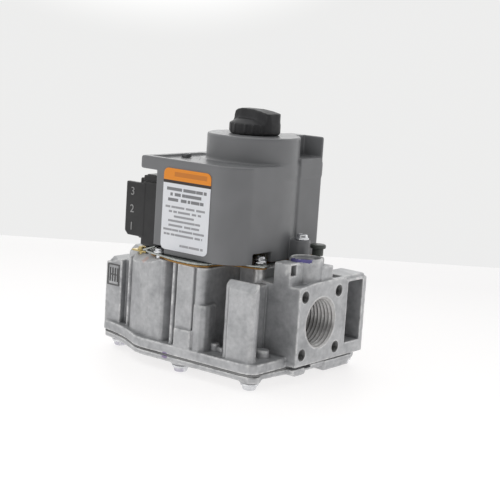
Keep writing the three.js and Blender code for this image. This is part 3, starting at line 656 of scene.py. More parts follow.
moulded("rubber", (0.012, 0.012, 0.012), (0.025, 0.025, 0.025), (0.6, 0.8), 1200, 0.00006, spec=0.3)
moulded("seam_gasket", (0.16, 0.16, 0.16), (0.30, 0.30, 0.30), (0.6, 0.8), 1200, 0.00006, spec=0.3)
moulded("print_white", (0.55, 0.55, 0.55), (0.66, 0.66, 0.66), (0.5, 0.6), spec=0.3)
moulded("print_grey", (0.24, 0.24, 0.24), (0.32, 0.32, 0.32), (0.5, 0.6), spec=0.3)
moulded("mark_grey", (0.10, 0.10, 0.10), (0.20, 0.20, 0.20), (0.5, 0.6), spec=0.4)
moulded("mark_ink", (0.035, 0.035, 0.035), (0.07, 0.07, 0.07), (0.6, 0.75), spec=0.2)

fibre = Nodes("gasket_fibre")
fibre.done(
    fibre.mix(fibre.ramp(fibre.noise(1500, 4, 0.7, stretch=(1, 1, 3)), 0.35, 0.65), (0.20, 0.10, 0.03), (0.52, 0.30, 0.10)),
    0.85, fibre.bump(fibre.noise(2200, 3, 0.7), 0.00008, 0.6), 0.0, 0.2)


def label_material():
    """Printed film: orange head, dark rule, white field with plain grey bars in place of any wording."""
    n = Nodes("label_film")
    sep = n.t.nodes.new("ShaderNodeSeparateXYZ")
    n.link(n.coord, sep.inputs[0])
    x, z = sep.outputs["X"], sep.outputs["Z"]

    def zz(v):
        return (v + FRAME[2]) / 1000

    def xx(v):
        return (v + FRAME[0]) / 1000

    def band(src, a, b, soft=0.00006):
        up = n.ramp(src, a - soft, a + soft)
        down = n.ramp(src, b - soft, b + soft, 1.0, 0.0)
        return n.math("MULTIPLY", up, down)

    color = n.mix(n.ramp(n.noise(120, 2), 0.3, 0.7), (0.74, 0.76, 0.80), (0.79, 0.80, 0.83))
    rows = [(20.9, 0.68, -60.3, -38.2, 0.05), (18.6, 0.68, -58.2, -40.6, 0.05), (16.3, 0.68, -59.4, -39.6, 0.05)]
    rows += [(13.2 - 1.98 * i, 0.46, a, b, 0.2) for i, (a, b) in enumerate(
        [(-60.6, -38.6), (-58.6, -40.6), (-55.6, -44.4), (-58.8, -40.8), (-58.4, -41.2), (-61.2, -38.4), (-60.8, -39.2)])]
    rows.append((-3.0, 0.5, -51.6, -38.6, 0.24))
    for i, (zc, hh, x0, x1, grey) in enumerate(rows):
        word = n.t.nodes.new("ShaderNodeTexNoise")
        word.noise_dimensions = "1D"
        word.inputs["Scale"].default_value = 1.0
        word.inputs["Detail"].default_value = 1.5
        w = n.t.nodes.new("ShaderNodeMath")
        w.operation = "MULTIPLY_ADD"
        n.link(x, w.inputs[0])
        w.inputs[1].default_value = 520.0
        w.inputs[2].default_value = 17.3 * i
        n.link(w.outputs[0], word.inputs["W"])
        gaps = n.ramp(word.outputs["Fac"], 0.33, 0.37)
        m = n.math("MULTIPLY", n.math("MULTIPLY", band(z, zz(zc - hh), zz(zc + hh)), band(x, xx(x0), xx(x1))), gaps)
        color = n.mix(n.math("MULTIPLY", m, 0.78), color, (grey, grey, grey * 1.05))
    head = n.ramp(z, zz(24.5), zz(24.6))
    color = n.mix(head, color, (0.80, 0.265, 0.016))
    color = n.mix(n.math("MULTIPLY", band(z, zz(26.3), zz(28.3)), n.math("MULTIPLY", band(x, xx(-56.4), xx(-38.4)), 0.55)), color, (0.40, 0.13, 0.02))
    color = n.mix(band(z, zz(23.3), zz(24.6)), color, (0.035, 0.025, 0.02))
    n.done(color, n.ramp(n.noise(400, 2), 0.3, 0.7, 0.36, 0.46), n.bump(n.noise(260, 2), 0.00003, 0.3), 0.0, 0.4)


label_material()

# ------------------------------------------------------------------ valve body casting
FLANGE = (
    [(-LENGTH, -31.5), (-100.2, -33.4)]
    + spline([(-95, -34.6), (-88, -36.6), (-81, -39.6), (-75.5, -42.6), (-71.5, -44.8), (-66, -45.9)], 4)
    + [(-66, -45.9), (-12, -45.9), (-7.6, -45.2), (-5.1, -42.6), (-5, -30), (-5, 27), (-5.6, 30.6), (-8.4, 33), (-12, 33.5),
       (-66, 33.5), (-73, 31), (-84, 23), (-95, 17), (-LENGTH, 15.5)]
)
FLANGE_PLAIN = [
    (-LENGTH, -31.5), (-100.2, -33.4), (-95, -34.6), (-81, -39.2), (-72, -44.2), (-66, -45.9), (-12, -45.9),
    (-7.6, -45.2), (-5.1, -42.6), (-5, -30), (-5, 27), (-5.6, 30.6), (-8.4, 33), (-12, 33.5), (-66, 33.5),
    (-73, 31), (-84, 23), (-95, 17), (-LENGTH, 15.5),
]


def inset(dx):
    return [(x + dx if x < -90 else x - dx if x > -10 else x, y + dx if y < -25 else y - dx if y > 12 else y) for x, y in FLANGE_PLAIN]


WALL = (
    [(-93.0, -26), (-91.6, -29.0), (-88.8, -29.8), (-87.7, -33.0), (-86.9, -34.2), (-86.1, -33.4), (-85.4, -32.2), (-84.7, -32.6)]
    + spline([(-84.7, -32.6), (-83.4, -35.4), (-80.5, -37.7), (-77.0, -39.4), (-72.0, -41.0)], 4)
    + [(-72.0, -41.0), (-65.4, -43.2), (-58.9, -43.5), (-57.6, -42.8),
       (-56.6, -40.6), (-55.8, -38.4), (-54.6, -38.2), (-53.8, -40.6), (-53.2, -43.0), (-52.4, -43.7), (-51.5, -43.4), (-50.9, -41.6),
       (-50.3, -41.8), (-49.9, -44.0), (-40.6, -44.1), (-40.3, -42.7), (-39.7, -42.7), (-39.3, -43.9)]
    + spline([(-39.3, -43.9), (-37.8, -44.4), (-36.2, -44.1), (-35.1, -43.0), (-34.6, -41.4), (-34.6, -38.0)], 4)
    + [(-34.6, -38.0), (-34.6, -24), (-33.8, -20.6), (-21.4, -20.6), (-21.4, -10), (-20, 0), (-22, 20),
       (-26, 28.6), (-31, 31.6), (-38, 32.4), (-40, 29.8), (-42, 29.8), (-44, 32.2), (-54, 32.2), (-56, 29.8), (-58, 29.8),
       (-60, 32.0), (-67, 31.2), (-75, 27.4), (-82, 22.2), (-88, 19.0), (-92, 17.0), (-93, 12)]
)
COLUMN = [
    (-22.8, -33), (-23.6, -36), (-23.8, -42.4), (-23.0, -43.3), (-21.6, -43.9), (-21.2, -43.4), (-20.8, -44.3), (-8.9, -44.4), (-8.0, -43.9),
    (-7.6, -42.9), (-7.8, -40.8), (-8.6, -39.0), (-10.4, -37.4), (-13.6, -35.4), (-17.4, -33.0), (-17.4, -31),
]


def valve_body():
    f = Field((-LENGTH - 1.5, -48.0, SEAM_Z - 1.2), (1.4, 35.6, -3.0), 0.36)
    f.add(
        prism(FLANGE, SEAM_Z - 3, FLANGE_TOP),
        minus(prism(WALL, FLANGE_TOP - 1, BODY_TOP + 3, draft=0.004), box(-23.4, 5, -60, 60, BODY_TOP, BODY_TOP + 9)),
        box(-LENGTH - 3, -92.1, -32.8, 15.0, SEAM_Z - 3, IN_TOP),
        box(-92, -80, -29.8, 15.0, SEAM_Z - 3, IN_TOP),
        box(-22, 3, -22.7, 28.2, -49.2, OUT_TOP),
        box(-9.5, 3, -23.2, -22, -49.2, -47.4),
        # corner column with its sloping shoulder, and the wall between it and the block
        minus(prism(COLUMN, FLANGE_TOP - 1, -12.4), prism([(-46.4, -17.8), (-40.6, -12.4), (-40.6, -11), (-46.4, -11)], -30, 0, axis=0),
              box(-30, 0, -40.0, -20, -16.3, -10)),
        box(-22.6, -17.4, -36, -21, FLANGE_TOP - 1, -16.3),
        box(-48.9, -39.5, -45.4, -43.0, FLANGE_TOP - 0.5, -37.6, 0.2),
        prism([(-39.6, -44.2), (-37.6, -45.0), (-35.4, -44.8), (-33.6, -43.2), (-32.8, -41.0), (-33.4, -36), (-39.6, -36)], FLANGE_TOP - 0.5, -25.8),
        bar(-32.6, -36.6, 2.2, FLANGE_TOP - 0.5, -42.4),
        box(-30.2, -27.8, -37.6, -35.2, FLANGE_TOP - 0.5, -43.8, 0.3),
        bar(-12.8, -29.4, 3.0, FLANGE_TOP - 0.5, -42.4),
        # tower, side block, step and pads on the outlet block
        bar(REG_X, REG_Y, 7.3, OUT_TOP - 1, TOWER_TOP + 2),
        box(-14.6, -5.6, -22.7, -8, OUT_TOP - 1, -5.6, 0.2),
        box(-6.6, -1.2, -6, 2.8, OUT_TOP - 1, -7.8, 0.2),
        box(-14, -1.0, 11.8, 27.8, OUT_TOP - 1, -13.6, 0.2),
        prism([(-22, -17), (-22, -15), (-10, -13.8), (12, -13.7), (12, -17)], -2.6, 3, axis=0),
        bar(-22.9, -21.4, 2.5, -20, -9.4),
        bar(*VENT, 3.2, OUT_TOP - 1, -7.4),
        box(-21.8, -14.8, -1.8, 5.0, OUT_TOP - 1, -8.6),
        bar(-60, -24, 7.5, 26, 34.4, axis=1),
    )
    # fillet where the tower meets the block
    f.add(turned(REG_X, REG_Y, [(0, OUT_TOP - 0.5), (8.4, OUT_TOP - 0.5), (7.6, OUT_TOP + 0.5), (7.3, OUT_TOP + 1.4), (0, OUT_TOP + 1.4)]))
    f.cut(
        box(-12, 3, 13.6, 25.4, -43.6, -16.2, 0.3),
        box(-LENGTH - 3, -LENGTH + 6, 9.4, 13.0, -43.6, -20),
    )
    f.ripple(0.03, 5.0, 3).ripple(0.016, 2.2, 5)
    f.blur(0.33)
    # machined faces
    x, y, z = (f.x[0][:, None, None], f.x[1][None, :, None], f.x[2][None, None, :])
    f.f = np.maximum(f.f, SEAM_Z - z)
    f.f = np.maximum(f.f, x)
    f.f = np.maximum(f.f, -LENGTH - x)
    f.f = np.maximum(f.f, -45.88 - y)
    # sloping shoulder and ledge of the ground corner
    above = -0.313 * (x + 86.6) - 0.525 * (y + 33.8) + 0.791 * (z + 14.3)
    f.f = np.maximum(f.f, np.where((x < -54) & (y < -20) & (z > -18), np.minimum(above, 3.0), -3.0))
    f.f = np.maximum(f.f, np.where((x < -74.6) & (y < -28.4), np.minimum(z + 10.9, 3.0), -3.0))
    f.f = np.maximum(f.f, np.minimum(z - np.where(x < -23.4, BODY_TOP, 60.0), 3.0))
    far = np.sqrt((x - REG_X) ** 2 + (y - REG_Y) ** 2)
    f.f = np.maximum(f.f, np.where(far < 9.0, np.maximum(z - TOWER_TOP, np.where(z > -6.2, ((far - 6.6) * 1.6 + z - TOWER_TOP) * 0.53, -3.0)), -3.0))
    f.cut(
        box(-8.2, -4.2, -22.2, -18.6, -10.7, -6.4),
        box(-21.5, -21.0, -46.5, -43.5, -44.8, -15.0),
        bar(PORT_Y, PORT_Z, 11.0, -BORE_DEPTH, 1, axis=0),
        bar(PORT_Y, PORT_Z, 11.0, -LENGTH - 1, -LENGTH + BORE_DEPTH, axis=0),
        *[bar(PORT_Y + a * FACE_BOLT, PORT_Z + b * FACE_BOLT, 2.45, x0, x1, axis=0)
          for a in (-1, 1) for b in (-1, 1) for x0, x1 in ((-9, 1), (-LENGTH - 1, -LENGTH + 9))],
        bar(REG_X, REG_Y, 5.9, -16.6, -3),
        bar(REG_X, REG_Y, 6.1, -6.0, -3),
        box(-34, -19, -14.5, 2.5, -41, -31.6),
        bar(-45, -27, 4.6, -14.2, BODY_TOP + 1), bar(-53.5, 9.6, 4.6, -14.2, BODY_TOP + 1),
        bar(KNOB_X, KNOB_Y, 10.4, -17.4, BODY_TOP + 1),
        bar(PILOT_X, PILOT_Y, 3.2, -17.5, BODY_TOP + 1),
        bar(-60, -24, 4.2, 28, 36, axis=1),
        bar(*VENT, 1.6, -14, -6),
        bar(MV_X, MV_Y, 24, SEAM_Z - 2, -46.2),
        *[bar(a, b, 1.75, SEAM_Z - 2, SEAM_Z + 8) for a, b in BOTTOM_SCREWS],
        *[bar(a, b, 1.65, -17, -8) for a, b in PLATE_SCREWS],
        bar(-80.8, -32.2, 1.3, -14.8, BODY_TOP + 1),
        bar(*LUG_SCREW, 1.65, -14.4, -7),
        bar(-11, -30, 3.4, 25.2, 29, axis=1), bar(-90, -30, 3.4, 11, 16, axis=1),
    )
    f.blur(0.13)
    o = field_piece("body_casting", f, 230000, wear=0.55)
    settle(o, "valve_housing", "cast_aluminium", ["valve_body"])


valve_body()

# threads of the ports and of the small holes; each pair is one thread, turned about for the other end
first = thread_sleeve("port_thread", 19.2, 9.95, 9.35, 1.814, 0.95, 10.75, 11.6, 0.2, 60000)
for name, x_out, turn in (("outlet_thread", -0.03, 0.0), ("inlet_thread", -LENGTH + 0.03, math.pi)):
    o = link(name, first.data.copy())
    o.data.transform(Matrix.Translation(Vector((x_out, PORT_Y, PORT_Z))) @ Matrix.Rotation(turn, 4, "Z"))
    settle(o, "valve_housing", "thread_metal")
bpy.data.objects.remove(first)
first = thread_sleeve("small_thread", 7.2, 1.75, 1.75, 0.8, 0.42, 2.3, 2.75, 0.13, 5000)
count = 0
for a in (-1, 1):
    for b in (-1, 1):
        for x_out, turn in ((-0.03, 0.0), (-LENGTH + 0.03, math.pi)):
            count += 1
            o = link(f"face_hole_thread_{count}", first.data.copy())
            at = Vector((x_out, PORT_Y + a * FACE_BOLT, PORT_Z + b * FACE_BOLT))
            o.data.transform(Matrix.Translation(at) @ Matrix.Rotation(turn, 4, "Z"))
            # painted shade: near black threads stand in for the shade inside the holes
            settle(o, "valve_housing", "thread_shade_dark")
bpy.data.objects.remove(first)


# plain raised frame with tally bars on the front of the inlet block
f = Field((-102.4, -33.9, -30.4), (-92.0, -31.9, -17.6), 0.13)
f.add(minus(box(-100.8, -93.4, -33.12, -32.6, -29.0, -19.0, 0.1), box(-100.1, -94.1, -34, -32, -28.3, -19.7)))
f.add(*[box(-99.4 + 1.5 * i, -98.8 + 1.5 * i, -33.12, -32.6, -27.2, -20.8, 0.1) for i in range(4)], box(-98.9, -94.6, -32.98, -32.6, -24.3, -23.7, 0.1))
f.blur(0.08)
o = field_piece("inlet_cast_mark", f, 9000, wear=0.3)
settle(o, "valve_housing", "mark_grey")


def joined(*prims):
    lo = [min(p[0][0][a] for p in prims) for a in range(3)]
    hi = [max(p[0][1][a] for p in prims) for a in range(3)]

    def f(c):
        d = prims[0][1](c)
        for p in prims[1:]:
            d = np.minimum(d, p[1](c))
        return d

    return (lo, hi), f


def turned_piece(name, at, profile, recess=None, h=0.13, soft=0.09, extra=(), cuts=()):
    """Small turned part about an upright axis at the point at; recess is (lobe radius, z0, z1) of a six-lobe socket."""
    big = max(p[0] for p in profile)
    z0, z1 = min(p[1] for p in profile), max(p[1] for p in profile)
    f = Field((-big - 0.8, -big - 0.8, z0 - 0.8), (big + 0.8, big + 0.8, z1 + 0.8), h)
    f.add(turned(0, 0, profile), *extra)
    if recess:
        r, a, b = recess
        lobes = [(r * (0.86 + 0.14 * math.cos(6 * t)) * math.cos(t), r * (0.86 + 0.14 * math.cos(6 * t)) * math.sin(t))
                 for t in np.linspace(0, 2 * math.pi, 48, endpoint=False)]
        f.cut(prism(lobes, a, b))
    f.cut(*cuts)
    f.blur(soft)
    o = field_piece(name, f, 9000, wear=0.35)
    o.data.transform(Matrix.Translation(Vector(at)))
    return o


def copy_of(o, name, shift, turn=0.0):
    c = link(name, o.data.copy())
    c.data.transform(Matrix.Translation(Vector(shift)) @ Matrix.Rotation(turn, 4, "Z"))
    return c


# ------------------------------------------------------------------ bottom gasket and cover
def flange_ring(d):
    return [(x + d if x < -90 else x - d if x > -10 else x, y + d if y < -25 else y - d if y > 12 else y) for x, y in FLANGE]


def flat_piece(name, outline, z0, z1, h, cuts, triangles, extra=(), soft=0.12):
    xs, ys = [p[0] for p in outline], [p[1] for p in outline]
    top = max([z1] + [e[0][1][2] for e in extra])
    f = Field((min(xs) - 1, min(ys) - 1, z0 - 0.9), (max(xs) + 1, max(ys) + 1, top + 0.9), h)
    f.add(prism(outline, z0, z1), *extra)
    f.cut(*cuts)
    f.blur(soft)
    return field_piece(name, f, triangles, wear=0.35)


def bottom_cover():
    base = flange_ring(0.12)
    i = next(k for k, p in enumerate(base) if p[0] > -5.5)
    j = next(k for k, p in enumerate(base) if k > i and p[1] > 30)
    outline = base[:i] + [(-4.8, -22.0), (-1.8, -21.6), (-1.8, -12.2), (-3.2, -11.8), (-3.2, 3), (-2.6, 3.4), (-2.6, 24.4), (-5.3, 26.8)] + base[j:]
    f = Field((-102.6, -47.4, -57.8), (-0.6, 35.2, C1 + 1.1), 0.36)
    f.add(prism(outline, C1 - COVER_LIP_T, C1 + 2, draft=-0.03))
    f.add(
        *[bar(x, y, 4.6 if k == 2 else 4.3, LUG_BOTTOM, C1 - 0.5) for k, (x, y) in enumerate(BOTTOM_SCREWS)],
        prism([(-3.4, 3.6), (-3.0, 3.6), (-3.0, 22.4), (-12, 22.4), (-12, 3.6)], -55.4, C1 - 1),
        prism([(-2.2, -19.4), (-2.2, -12.6), (-10, -12.6), (-10, -19.4)], -54.0, C1 - 1),
        bar(MV_X, MV_Y, 26.5, -56.6, C1 - 1, r1=28.5, r=1.0),
        box(-80, -60, -30, -18, -55.0, C1 - 1, 0.8), k=1.0)
    f.ripple(0.03, 5.0, 11)
    f.blur(0.3)
    f.f = np.maximum(f.f, -45.85 - f.x[1][None, :, None])
    z = f.x[2][None, None, :]
    f.f = np.maximum(f.f, z - C1)
    f.f = np.maximum(f.f, -LENGTH + 0.25 - f.x[0][:, None, None])
    f.cut(bar(MV_X, MV_Y, 23.5, -54.6, C1 + 1), box(-9, 1, -13, -6.5, C1 - 1.2, C1 + 1),
          *[bar(x, y, 2.3, -60, -48) for x, y in BOTTOM_SCREWS])
    f.blur(0.13)
    o = field_piece("bottom_cover_casting", f, 100000, wear=0.5)
    settle(o, "valve_housing", "cast_cover", ["bottom_cover"])


bottom_cover()
o = flat_piece("bottom_gasket_sheet", flange_ring(0.06), G0, G1, 0.26,
               [bar(MV_X, MV_Y, 26.2, G0 - 1, G1 + 1), *[bar(x, y, 2.2, G0 - 1, G1 + 1) for x, y in BOTTOM_SCREWS]], 16000, soft=0.08)
settle(o, "valve_housing", "seam_gasket", ["bottom_gasket"])

HEAD = LUG_BOTTOM - 0.1 - FLOOR_Z
first = turned_piece("cover_screw_head_1", (0, 0, 0), [
    (0, 0), (2.35, 0), (2.75, 0.2), (3.02, 1.0), (3.1, 1.9), (3.78, 2.06), (3.9, 2.2), (3.9, HEAD - 0.1), (3.8, HEAD), (1.6, HEAD), (1.6, HEAD + 9.6), (0, HEAD + 9.6)],
    recess=(1.75, -0.2, 1.5))
for i, (x, y) in enumerate(BOTTOM_SCREWS):
    o = copy_of(first, f"cover_screw_head_{i + 1}_piece", (x, y, FLOOR_Z), 0.4 * i)
    settle(o, "valve_housing", "screw_zinc", [f"cover_screw_{i + 1}"])
bpy.data.objects.remove(first)


def cap_profile(r, hh, sr, sl):
    return [(0, -sl), (sr, -sl), (sr, 0), (r - 0.1, 0), (r, 0.1), (r, hh * 0.28), (r * 0.97, hh * 0.34), (r * 0.8, hh * 0.42), (r * 0.76, hh * 0.78),
            (r * 0.68, hh * 0.93), (r * 0.5, hh), (0, hh)]


first = turned_piece("plate_screw_head", (0, 0, 0), cap_profile(2.8, 2.0, 1.45, 6.6), recess=(1.3, 1.0, 3.0))
tall = turned_piece("plate_screw_tall", (0, 0, 0), cap_profile(2.8, 3.1, 1.45, 6.6), recess=(1.3, 2.0, 4.0))
for i, (x, y) in enumerate(PLATE_SCREWS):
    o = copy_of(tall if i == 1 else first, f"plate_screw_head_{i + 1}", (x, y, PLATE_Z1 + 0.1), 0.5 * i)
    settle(o, "valve_housing", "screw_zinc", [f"plate_screw_{i + 1}"])
bpy.data.objects.remove(first)
bpy.data.objects.remove(tall)
o = turned_piece("lug_screw_head", (*LUG_SCREW, 1.0), cap_profile(3.1, 2.5, 1.4, 14.2), recess=(1.4, 1.4, 3.4))
settle(o, "valve_housing", "screw_zinc", ["lug_screw"])
TAB_TOP = -10.9 + 0.1 + 0.8
o = turned_piece("ground_screw_head", (-80.8, -32.2, TAB_TOP + 0.1), cap_profile(2.2, 1.5, 1.15, 4.4),
                 cuts=[box(-3.2, 3.2, -0.32, 0.32, 0.8, 3)])
settle(o, "valve_housing", "brass", ["ground_screw"])
o = turned_piece("vent_cap_moulding", (*VENT, 0.7), [
    (0, -9.6), (1.3, -9.6), (1.3, -7.4), (2.5, -7.4), (2.5, -4.4), (3.3, -4.1), (3.5, -3.9), (3.5, -3.0), (3.35, -2.55), (3.0, -2.4), (0, -2.4)])
settle(o, "valve_housing", "vent_plastic", ["vent_cap"])

# ------------------------------------------------------------------ operator gasket, plate, ground tab
PLATE = (spline([(-72.0, -39.6), (-66.0, -41.6), (-59.5, -42.9), (-54, -44.2), (-49, -45.1), (-45, -45.2), (-41, -44.7), (-37.6, -43.3), (-35.3, -40.6), (-34.3, -36),
                 (-33.2, -31)], 4)
         + [(-33.2, -31), (-31.2, -29.4), (-28.2, -28.5), (-23.6, -27.5), (-19.6, -26.4), (-17.8, -25), (-17.4, -22.8), (-18.4, -20.2), (-20.6, -18.4), (-25.2, -17.4),
            (-27.4, -15.4), (-27.4, 24), (-31, 28.4), (-70, 28.0), (-75.4, 23.4), (-76.8, -34.4)])
WELLS = [bar(-45, -27, 4.4, -20, 0), bar(-53.5, 9.6, 4.4, -20, 0)]
o = flat_piece("operator_gasket_sheet", [(x + 2.5 if x < -60 else x - 1.2 if x > -35 and y < -18 else x, y + 0.6 if x < -56 else y + 0.1 if y < -40 else y) for x, y in PLATE], BODY_TOP + 0.1, PLATE_Z0 - 0.1, 0.25,
               [bar(-22.9, -21.4, 3.3, -20, 0), bar(KNOB_X, KNOB_Y, 9.9, -20, 0), *WELLS,
                *[bar(x, y, 2.0, -20, 0) for x, y in PLATE_SCREWS], box(-90, -73.6, -42, -30, -20, 0)], 30000, soft=0.14)
settle(o, "valve_housing", "gasket_fibre", ["operator_gasket"])
tab = prism([(-74.6, PLATE_Z1 - 0.5), (-73.0, PLATE_Z1 - 0.5), (-66.8, -5.95), (-66.8, -5.4), (-73.4, -7.7)], -39.9, -37.9, axis=1)
o = flat_piece("operator_plate", PLATE, PLATE_Z0, PLATE_Z1, 0.24,
               [bar(KNOB_X, KNOB_Y, 4.6, -20, 0), *WELLS, *[bar(x, y, 1.9, -20, 0) for x, y in PLATE_SCREWS],
                box(-90, -73.9, -42.3, -29.7, -20, 0)], 34000, extra=[tab])
settle(o, "valve_housing", "zinc_plate", ["mounting_plate"])
o = flat_piece("ground_tab_blade", [(-85.6, -34.0), (-76.8, -34.4), (-76.8, -30.2), (-85.6, -29.8)], -10.8, TAB_TOP, 0.16,
               [bar(-80.8, -32.2, 1.7, -12, -6)], 5000)
settle(o, "valve_housing", "brass", ["ground_tab"])


# ------------------------------------------------------------------ moulded operator cover
def cover_outline(d, n=22):
    return ([(COV_LEFT + d, COV_FRONT + d)] + arc(-34.4, -28.5, 12.5 - d, -90, -10, n)
            + [(x - d, y) for x, y in spline([(-21.7, -25.0), (-21.4, -19), (-21.3, -10), (-22.0, -3), (-23.2, 2.6)], 5)]
            + [(-23.2 - d, 2.6), (COV_RIGHT - d, 3.0), (COV_RIGHT - d, COV_BACK - 1.5 - d), (COV_RIGHT - 0.45 - d, COV_BACK - 0.45 - d),
               (COV_RIGHT - 1.5 - d, COV_BACK - d), (COV_LEFT + d, COV_BACK - d)])


def operator_cover():
    f = Field((VISOR_LEFT - 1.3, COV_FRONT - 1.3, COV_BOTTOM - 1.2), (-12.6, COV_BACK + 1.3, BOSS_TOP + 1.3), 0.36)
    f.add(prism(cover_outline(0), COV_BOTTOM - 3, COV_RIM, r=0.7))
    f.add(prism([(VISOR_LEFT, COV_FRONT), (COV_LEFT + 4, COV_FRONT), (COV_LEFT + 4, 8), (VISOR_LEFT, 8)], VISOR_Z, COV_RIM, r=0.7))
    head = joined(
        bar(KNOB_X, KNOB_Y, BOSS_R, COV_RIM - 6, BOSS_TOP, r=0.9),
        minus(prism([(KNOB_X, 3.0), (COV_RIGHT, 3.0), (COV_RIGHT, COV_BACK - 1.5), (COV_RIGHT - 0.45, COV_BACK - 0.45), (COV_RIGHT - 1.5, COV_BACK), (KNOB_X, COV_BACK)],
                    COV_RIM - 6, BOSS_TOP, r=0.8),
              minus(box(-32.6, COV_RIGHT + 3, 2.2, 18.6, 35.8, BOSS_TOP + 3, 0.5), bar(KNOB_X, KNOB_Y, BOSS_R, 30, 50))))
    f.add(head, k=1.2)
    f.add(prism([(COV_RIGHT - 3, -2.3)] + arc(-18.2, 1.6, 3.9, -90, 90, 16) + [(COV_RIGHT - 3, 5.5)], COV_BOTTOM - 2, 0.9, r=0.3))
    f.cut(prism([(-72.6, -37.4), (-49.5, -37.4), (-52, -31), (-63.5, -16), (-66, -4), (-72.6, -4)], COV_RIM - 1.1, COV_RIM + 2, r=0.3))
    f.blur(0.28)
    z = f.x[2][None, None, :]
    f.f = np.maximum(f.f, COV_BOTTOM - z)
    f.cut(
        prism(cover_outline(2.0), COV_BOTTOM - 2, COV_RIM - 2.2),
        bar(KNOB_X, KNOB_Y, BOSS_R - 2, COV_RIM - 3, BOSS_TOP - 2),
        bar(KNOB_X, KNOB_Y, 6.3, BOSS_TOP - 4, BOSS_TOP + 1),
        box(-29, -20, -28.2, -15.8, COV_BOTTOM - 1, -3.4, 0.2),
        box(COV_LEFT - 1, -60.6, COV_FRONT - 1, -35.6, COV_BOTTOM - 1, -4.6, 0.2),
        box(COV_LEFT - 1, COV_LEFT + 3, -33.5, -8, -5.0, 24.2, 0.2),
        bar(*LUG_SCREW, 1.7, -12, 3),
        *[box(-58 + i * 9, -53 + i * 9, COV_BACK - 3, COV_BACK + 1, 6, 22, 0.4) for i in range(3)])
    f.blur(0.14)
    o = field_piece("operator_cover_moulding", f, 130000, wear=0.6)
    settle(o, "valve_housing", "grey_plastic", ["operator_cover"])


operator_cover()
f = Field((-71.1, -22.8, COV_RIM - 1.9), (-65.9, -17.2, COV_RIM + 1.4), 0.12)
f.add(box(-70.1, -66.9, -21.8, -18.2, COV_RIM - 1.0, COV_RIM + 0.6, 0.3))
f.cut(bar(-68.5, -20, 1.1, COV_RIM - 0.1, COV_RIM + 2))
f.blur(0.08)
o = field_piece("deck_button_moulding", f, 6000, wear=0.3)
settle(o, "valve_housing", "grey_plastic", ["deck_button"])

# notice label: thin film with rounded corners and a soft edge
outline = rounded(-62.5, -36.2, -5.6, 29.7, 2.6, 10)
f = Field((-63.5, COV_FRONT - 1.1, -6.6), (-35.2, COV_FRONT + 0.7, 30.7), 0.14)
f.add(prism(outline, COV_FRONT - 0.28, COV_FRONT - 0.04, axis=1))
f.blur(0.06)
o = field_piece("label_sheet", f, 9000, wear=0)
settle(o, "valve_housing", "label_film", ["notice_label"])


# ------------------------------------------------------------------ terminal block
def terminal_block():
    f = Field((-88.8, -38.4, -7.9), (-59.8, -7.2, 28.5), 0.26)
    f.add(
        box(-79.2, COV_LEFT - 0.3, -35.4, -9, -6.8, 24.0, 0.4),
        box(-78.0, COV_LEFT - 0.3, -37.0, -30, -6.8, 21.4, 0.4),
        box(-77.4, COV_LEFT - 0.3, -35.4, -9, 20, 24.6, 0.3),
        box(-70.2, COV_LEFT - 0.3, -35.4, -9, 20, 27.3, 0.4),
        box(COV_LEFT - 1, COV_LEFT + 6, -33.2, -8.3, -4.4, 23.9, 0.2),
        prism([(-87.6, 20.5), (-87.6, -1.6), (-85.8, -3.4), (-76.4, -3.4), (-76.4, 20.5)], -37.2, -34.9, 0.3, axis=1),
        box(-81.4, -79, -34.9, -9, 19.0, 22.6, 0.4),
        box(-81.4, -79, -34.9, -9, -4.4, -1.6, 0.4))
    f.cut(*[box(-80, -70, -27.2, -20.2, zc - 0.7, zc + 0.7) for zc in (16.2, 8.4, 0.6)])
    f.blur(0.16)
    o = field_piece("terminal_moulding", f, 40000, wear=0.5)
    settle(o, "valve_housing", "black_plastic", ["terminal_block"])


terminal_block()


def number(name, text, at, size, tilt, material, depth=0.25):
    """A raised numeral standing on a face; tilt is its rotation."""
    c = bpy.data.curves.new(name, "FONT")
    c.body, c.size, c.extrude, c.align_x, c.align_y = text, size, depth / 2, "CENTER", "CENTER"
    c.offset = 0.0
    t = bpy.data.objects.new(name + "_text", c)
    bpy.context.scene.collection.objects.link(t)
    bpy.context.view_layer.update()
    me = bpy.data.meshes.new_from_object(t.evaluated_get(bpy.context.evaluated_depsgraph_get()))
    bpy.data.objects.remove(t)
    bpy.data.curves.remove(c)
    o = link(name, me)
    bm = bmesh.new()
    bm.from_mesh(me)
    bmesh.ops.remove_doubles(bm, verts=bm.verts, dist=1e-4)
    bmesh.ops.recalc_face_normals(bm, faces=bm.faces)
    bm.to_mesh(me)
    bm.free()
    me.transform(Matrix.Translation(Vector(at)) @ tilt)
    return settle(o, "valve_housing", material)


FRONT = Matrix.Rotation(math.pi / 2, 4, "X")
for i, zc in enumerate((16.2, 8.4, 0.6)):
    number(f"terminal_number_{i + 1}", str(3 - i), (-83.6, -37.2, zc), 5.0, FRONT, "print_grey")


